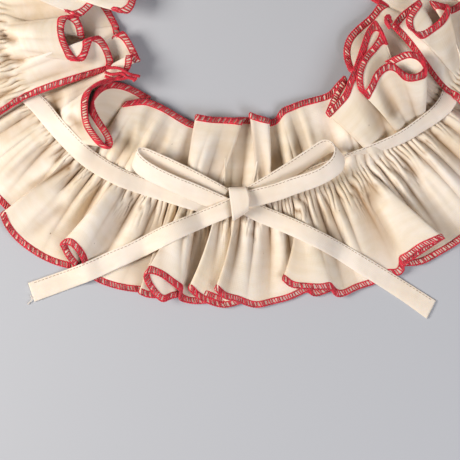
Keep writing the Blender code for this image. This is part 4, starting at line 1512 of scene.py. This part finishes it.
# The tie: x, y, height of its stitched line, then of its other line, or the greatest heights.
BAND_LEFT = (
    (2, 3, 5.2, -17, 4, 5.2), (5, 34, 5.2, -13, 38, 5.2), (15, 64, 5.2, -2, 73, 5.2),
    (26, 82, 6.0, 10, 92, 6.0), (40.7, 95.7, 20, 25, 106, 20), (57, 115.7, 20, 42.9, 128.6, 20),
    (77, 137, 20, 64.3, 151.4, 20), (91.4, 150, 20, 79, 165, 20), (108.6, 161.4, 20, 100, 178, 20),
    (128.6, 171.5, 20, 121.4, 188, 20), (150, 178, 20, 144, 195, 20), (175, 186, 20, 169, 203, 20),
    (200, 194, 20, 195, 211, 20), (228, 203, 20, 224, 219, 20),
)
BAND_RIGHT = (
    (459, 34, 4.2, 478, 39, 4.2), (451, 66, 4.2, 469, 74, 4.2), (443, 94, 5.6, 457, 107, 5.2),
    (433, 107, 7.6, 443.5, 119, 5.4), (414.3, 121.4, 10.4, 423, 132, 5.4),
    (400, 131.4, 11.2, 406.5, 142, 5.0), (385.7, 138, 11.0, 389, 148.5, 4.6),
    (371.4, 144.3, 10.6, 372.5, 152.5, 4.2), (357, 150, 10.0, 358, 154.5, 3.2),
    (344, 154.5, 9.4, 345, 158, 3.0), (325, 161.5, 8.4, 328, 167, 3.4), (300, 171, 7.8, 305, 182, 5.0),
    (272, 182, 7.6, 278, 196, 6.4), (250, 190, 7.6, 254, 206, 6.8),
)
TAIL_LEFT = (
    (233, 196, 13.4, 237, 213, 12.0), (219, 202, 20, 225, 219, 20), (205.7, 207.5, 20, 212, 224, 20),
    (177, 219, 20, 183.5, 236.5, 20), (154.3, 228.6, 20, 161.5, 247.5, 20),
    (128.6, 242.5, 20, 136.5, 260, 20), (106, 252, 12, 113.5, 270, 12), (91.4, 259, 10, 98.5, 277.5, 8),
    (74, 266.5, 6.0, 80, 285, 5.0), (57, 272.5, 4.0, 62.5, 291.5, 4.0), (26, 283.4, 2.0, 32.5, 302.5, 2.0),
)
TAIL_RIGHT = (
    (247, 197, 9.4, 238, 212, 9.4), (263, 204.5, 20, 256, 221, 20), (284.3, 213, 20, 276, 229, 20),
    (305.7, 222.5, 20, 297, 238, 20), (343, 241.4, 20, 334, 256, 20), (368.6, 256.5, 20, 359.5, 273, 20),
    (391.4, 271, 12, 382, 287, 12), (414.3, 285.7, 6, 405, 302, 6), (438.2, 301.4, 3, 428.8, 319.8, 3),
)
LOOP_LEFT = (
    (229, 188.5, 10.0, 222, 202, 8.2), (213, 179.5, 11.4, 207, 192.5, 8.2),
    (194.3, 169.5, 12.8, 188, 183.5, 8.2), (177, 161, 13.6, 171, 175.5, 8.2),
    (155, 151, 14.4, 149, 166.5, 8.6), (145, 146.8, 14.8, 139.5, 162.5, 9.0),
    (138, 146, 15.4, 132, 162, 9.6), (136.5, 150, 16.0, 131, 167, 10.0),
    (142, 157, 16.4, 136, 173.5, 10.6), (151.4, 163.4, 16.4, 145.5, 179.5, 11.0),
    (163, 169.6, 16.2, 157, 185, 11.0), (177, 176, 15.6, 171, 191.5, 10.8),
    (191.4, 181.5, 14.0, 186, 198, 9.8), (208, 188.5, 12.4, 203.5, 205.5, 9.0),
    (229, 198, 11.0, 226, 214, 8.4),
)
LOOP_RIGHT = (
    (246, 187, 10.0, 252, 200, 8.4), (270, 173, 11.8, 279, 186, 8.4), (291.4, 159.4, 13.6, 300.5, 173, 8.6),
    (306, 149.8, 14.8, 315, 163, 8.8), (318.5, 141.2, 16.0, 328, 154, 9.4),
    (325.5, 138, 16.6, 335, 150.5, 10.0), (332, 140.5, 17.0, 342, 152.5, 10.6),
    (336, 147, 17.0, 346.5, 159.5, 11.0), (333.5, 156.5, 16.8, 344, 171, 11.2),
    (324, 165, 16.4, 333, 179, 11.2), (313, 170.8, 15.8, 320, 186, 11.0),
    (291.4, 177, 14.4, 297.5, 193.5, 10.8), (274.3, 183.5, 13.0, 279.5, 200.5, 10.4),
    (257, 187.5, 12.0, 261.5, 205, 10.2), (245, 190.5, 11.6, 248, 207.5, 10.2),
)
# Loose thread ends: x, y and height of the places that each goes through, from its root.
RED_TAILS = {
    "thread_tail_left_upper": (
        (106, 67, 11.0), (114, 66, 13.4), (122, 68, 14.6), (128, 73, 14.4), (139, 75, 12.8),
    ),
    "thread_tail_left_middle": (
        (104, 71, 11.4), (112, 74, 13.2), (121, 71, 14.8), (127, 77, 14.2), (136, 77.5, 13.0),
    ),
    "thread_tail_left_lower": (
        (104, 75, 12.0), (113, 78, 13.0), (122, 78, 14.0), (130, 75, 14.0), (134, 80, 13.0),
    ),
    "thread_tail_right_upper": (
        (391, 27, 11.0), (386, 20, 13.0), (388, 13, 13.4), (392, 15, 13.0), (389, 25, 12.0),
    ),
    "thread_tail_right_lower": (
        (392, 26, 11.6), (389, 21, 13.8), (386, 16, 13.8), (389, 14, 13.6), (393, 21, 12.6),
    ),
}
FRAYED_END = ((29, 296, 1.2), (31, 300, 1.0), (28, 303, 0.5), (26, 305, 0.3))


@dataclass(frozen=True)
class BackWaves:
    """The hidden back's edge: folds one after another, each leaning to one side over the next.

    Start and end are angles in degrees from the centre front. Radius and height are millimetres.
    """

    count: int
    start: float
    end: float
    radius: float
    height: float
    seed: float

    def turns(self) -> np.ndarray:
        """Turns of the edge: for each fold a low turn under it, a crest over it and a low run.

        Returns:
            Rows of x, y, height and thickness about the neck's middle.
        """
        rows = []
        pitch = (self.end - self.start) / self.count
        for wave in range(self.count):
            centre = self.start + (wave + 0.5 + 0.18 * math.sin(2.3 * wave + self.seed)) * pitch
            tall = self.height * (1.0 + 0.3 * math.sin(1.7 * wave + 2.0 * self.seed))
            reach = self.radius + 2.5 * math.sin(1.1 * wave + self.seed)
            # Each place of a fold: share of the pitch, distance past the reach, height and thickness.
            fold = (
                (0.22, 0.0, 1.8, 2.2), (-0.26, -3.0, tall, 2.8), (0.05, -1.0, 0.8 * tall, 0.0),
                (0.4, 1.0, 1.2, 0.0),
            )
            if math.sin(1.9 * wave + 3.0 * self.seed) <= 0.0:
                fold = tuple((-a, r, h, -t) for a, r, h, t in reversed(fold))
            rows += [(centre + a * pitch, reach + r, h, t) for a, r, h, t in fold]
        table = np.array(rows)
        return np.column_stack([*about_neck(table[:, 1], np.radians(table[:, 0])), table[:, 2:]])


@dataclass
class Collar:
    """The whole collar, built from the frills outwards to the last thread.

    The waves stand for the back half's two edges, and the hidden arc is from and to which angle the
    tie lies under the back frill.
    """

    front_root: RootLine = RootLine(*FRONT_NECK, -92.0, 92.0, FRONT_LEVELS)
    back_root: RootLine = RootLine(*BACK_NECK, 66.6, 294.5, BACK_LEVELS)
    outer_waves: BackWaves = BackWaves(15, 88.0, 270.0, 178.0, 7.0, 0.0)
    inner_waves: BackWaves = BackWaves(13, 106.0, 254.0, 80.0, 6.5, 1.0)
    hidden_arc: tuple = (109.5, 250.5)
    hidden_stations: int = 60

    def strips(self) -> tuple[FrillStrip, FrillStrip]:
        """Lays out both strips, each with its edges, gathers and dents.

        Returns:
            The front and the back strip.
        """
        outer = [from_plan(BACK_OUTER_START), self.outer_waves.turns(), from_plan(BACK_OUTER_END)]
        inner = [from_plan(BACK_INNER_START), self.inner_waves.turns(), from_plan(BACK_INNER_END)]
        front = FrillStrip(
            "front_frill", self.front_root,
            EdgeLine(from_plan(FRONT_OUTER), self.front_root, 0.0),
            EdgeLine(from_plan(FRONT_INNER), self.front_root, 0.0, FRONT_PINS),
            Gathers(0.4), FRONT_QUIET, dent_rows(FRONT_DENTS),
        )
        back = FrillStrip(
            "back_frill", self.back_root,
            EdgeLine(np.vstack(outer), self.back_root, BACK_BASE),
            EdgeLine(np.vstack(inner), self.back_root, BACK_BASE),
            Gathers(2.1), BACK_QUIET, dent_rows(BACK_DENTS),
        )
        return front, back

    def frills(self) -> list:
        """Builds both gathered strips with their overlocked edges.

        Returns:
            The front and the back strip's pieces.
        """
        pieces = []
        for strip, node in zip(self.strips(), ("frill_front", "frill_back")):
            piece = strip.build(node)
            edges = [
                Overlock(strip, border).build(f"{strip.name}_{border.value}_overlock")
                for border in Border
            ]
            strip.cut_length() * MM
            pieces.append(piece)
        return pieces

    def tie(self, front: bpy.types.Object) -> None:
        """Builds the tie's bands, tails and loops, the knot and the stretch under the back; the left band and
        the tails are laid on what is already there.

        Args:
            front: the front frill's piece.
        """
        cloth = search_tree(front)
        left = TieStretch("band_left", BAND_LEFT, Rest.LAID).build("tie_band_left", cloth)
        right = TieStretch("band_right", BAND_RIGHT, Rest.FREE).build("tie_band_right")
        below = search_tree(front, left, right)
        TieStretch("tail_right", TAIL_RIGHT, Rest.LAID).build("tie_tail_right", below)
        loop = TieStretch("loop_left", LOOP_LEFT, Rest.FREE).build("bow_loop_left")
        TieStretch("loop_right", LOOP_RIGHT, Rest.FREE).build("bow_loop_right")
        below = search_tree(front, left, right, loop)
        TieStretch("tail_left", TAIL_LEFT, Rest.LAID).build("tie_tail_left", below)
        Knot().build("bow_knot")
        self.hidden_tie()

    def hidden_tie(self) -> None:
        """The tie's stretch under the back frill: a level arc of the back's ellipse, on the floor."""
        angle = np.radians(np.linspace(*self.hidden_arc, self.hidden_stations))
        height = np.full(self.hidden_stations, 0.5 * TIE_THICKNESS + CLOTH_GAP)
        columns = []
        for inset in (-0.5 * TIE_WIDTH, 0.5 * TIE_WIDTH):
            x, y = about_neck(self.back_root.radius(angle) + inset, angle)
            columns += [x / PLAN_UNIT + PLAN_MIDDLE[0], PLAN_MIDDLE[1] - y / PLAN_UNIT, height]
        TieStretch("hidden_tie", tuple(zip(*columns)), Rest.FREE).build("tie_back")

    def threads(self) -> None:
        """Builds the loose thread ends."""
        for name, table in RED_TAILS.items():
            ThreadTail(name, table, Slot.RED).build()
        ThreadTail("frayed_end", FRAYED_END, Slot.TIE, strands=2, radius=0.14, spread=0.2).build()


def main() -> None:
    """Builds the studio and the collar in order."""
    logging.basicConfig(level=logging.INFO, format="%(name)s: %(message)s")
    Studio().build()
    collar = Collar()
    front, _ = collar.frills()
    collar.tie(front)
    collar.threads()


if __name__ == "__main__":
    main()
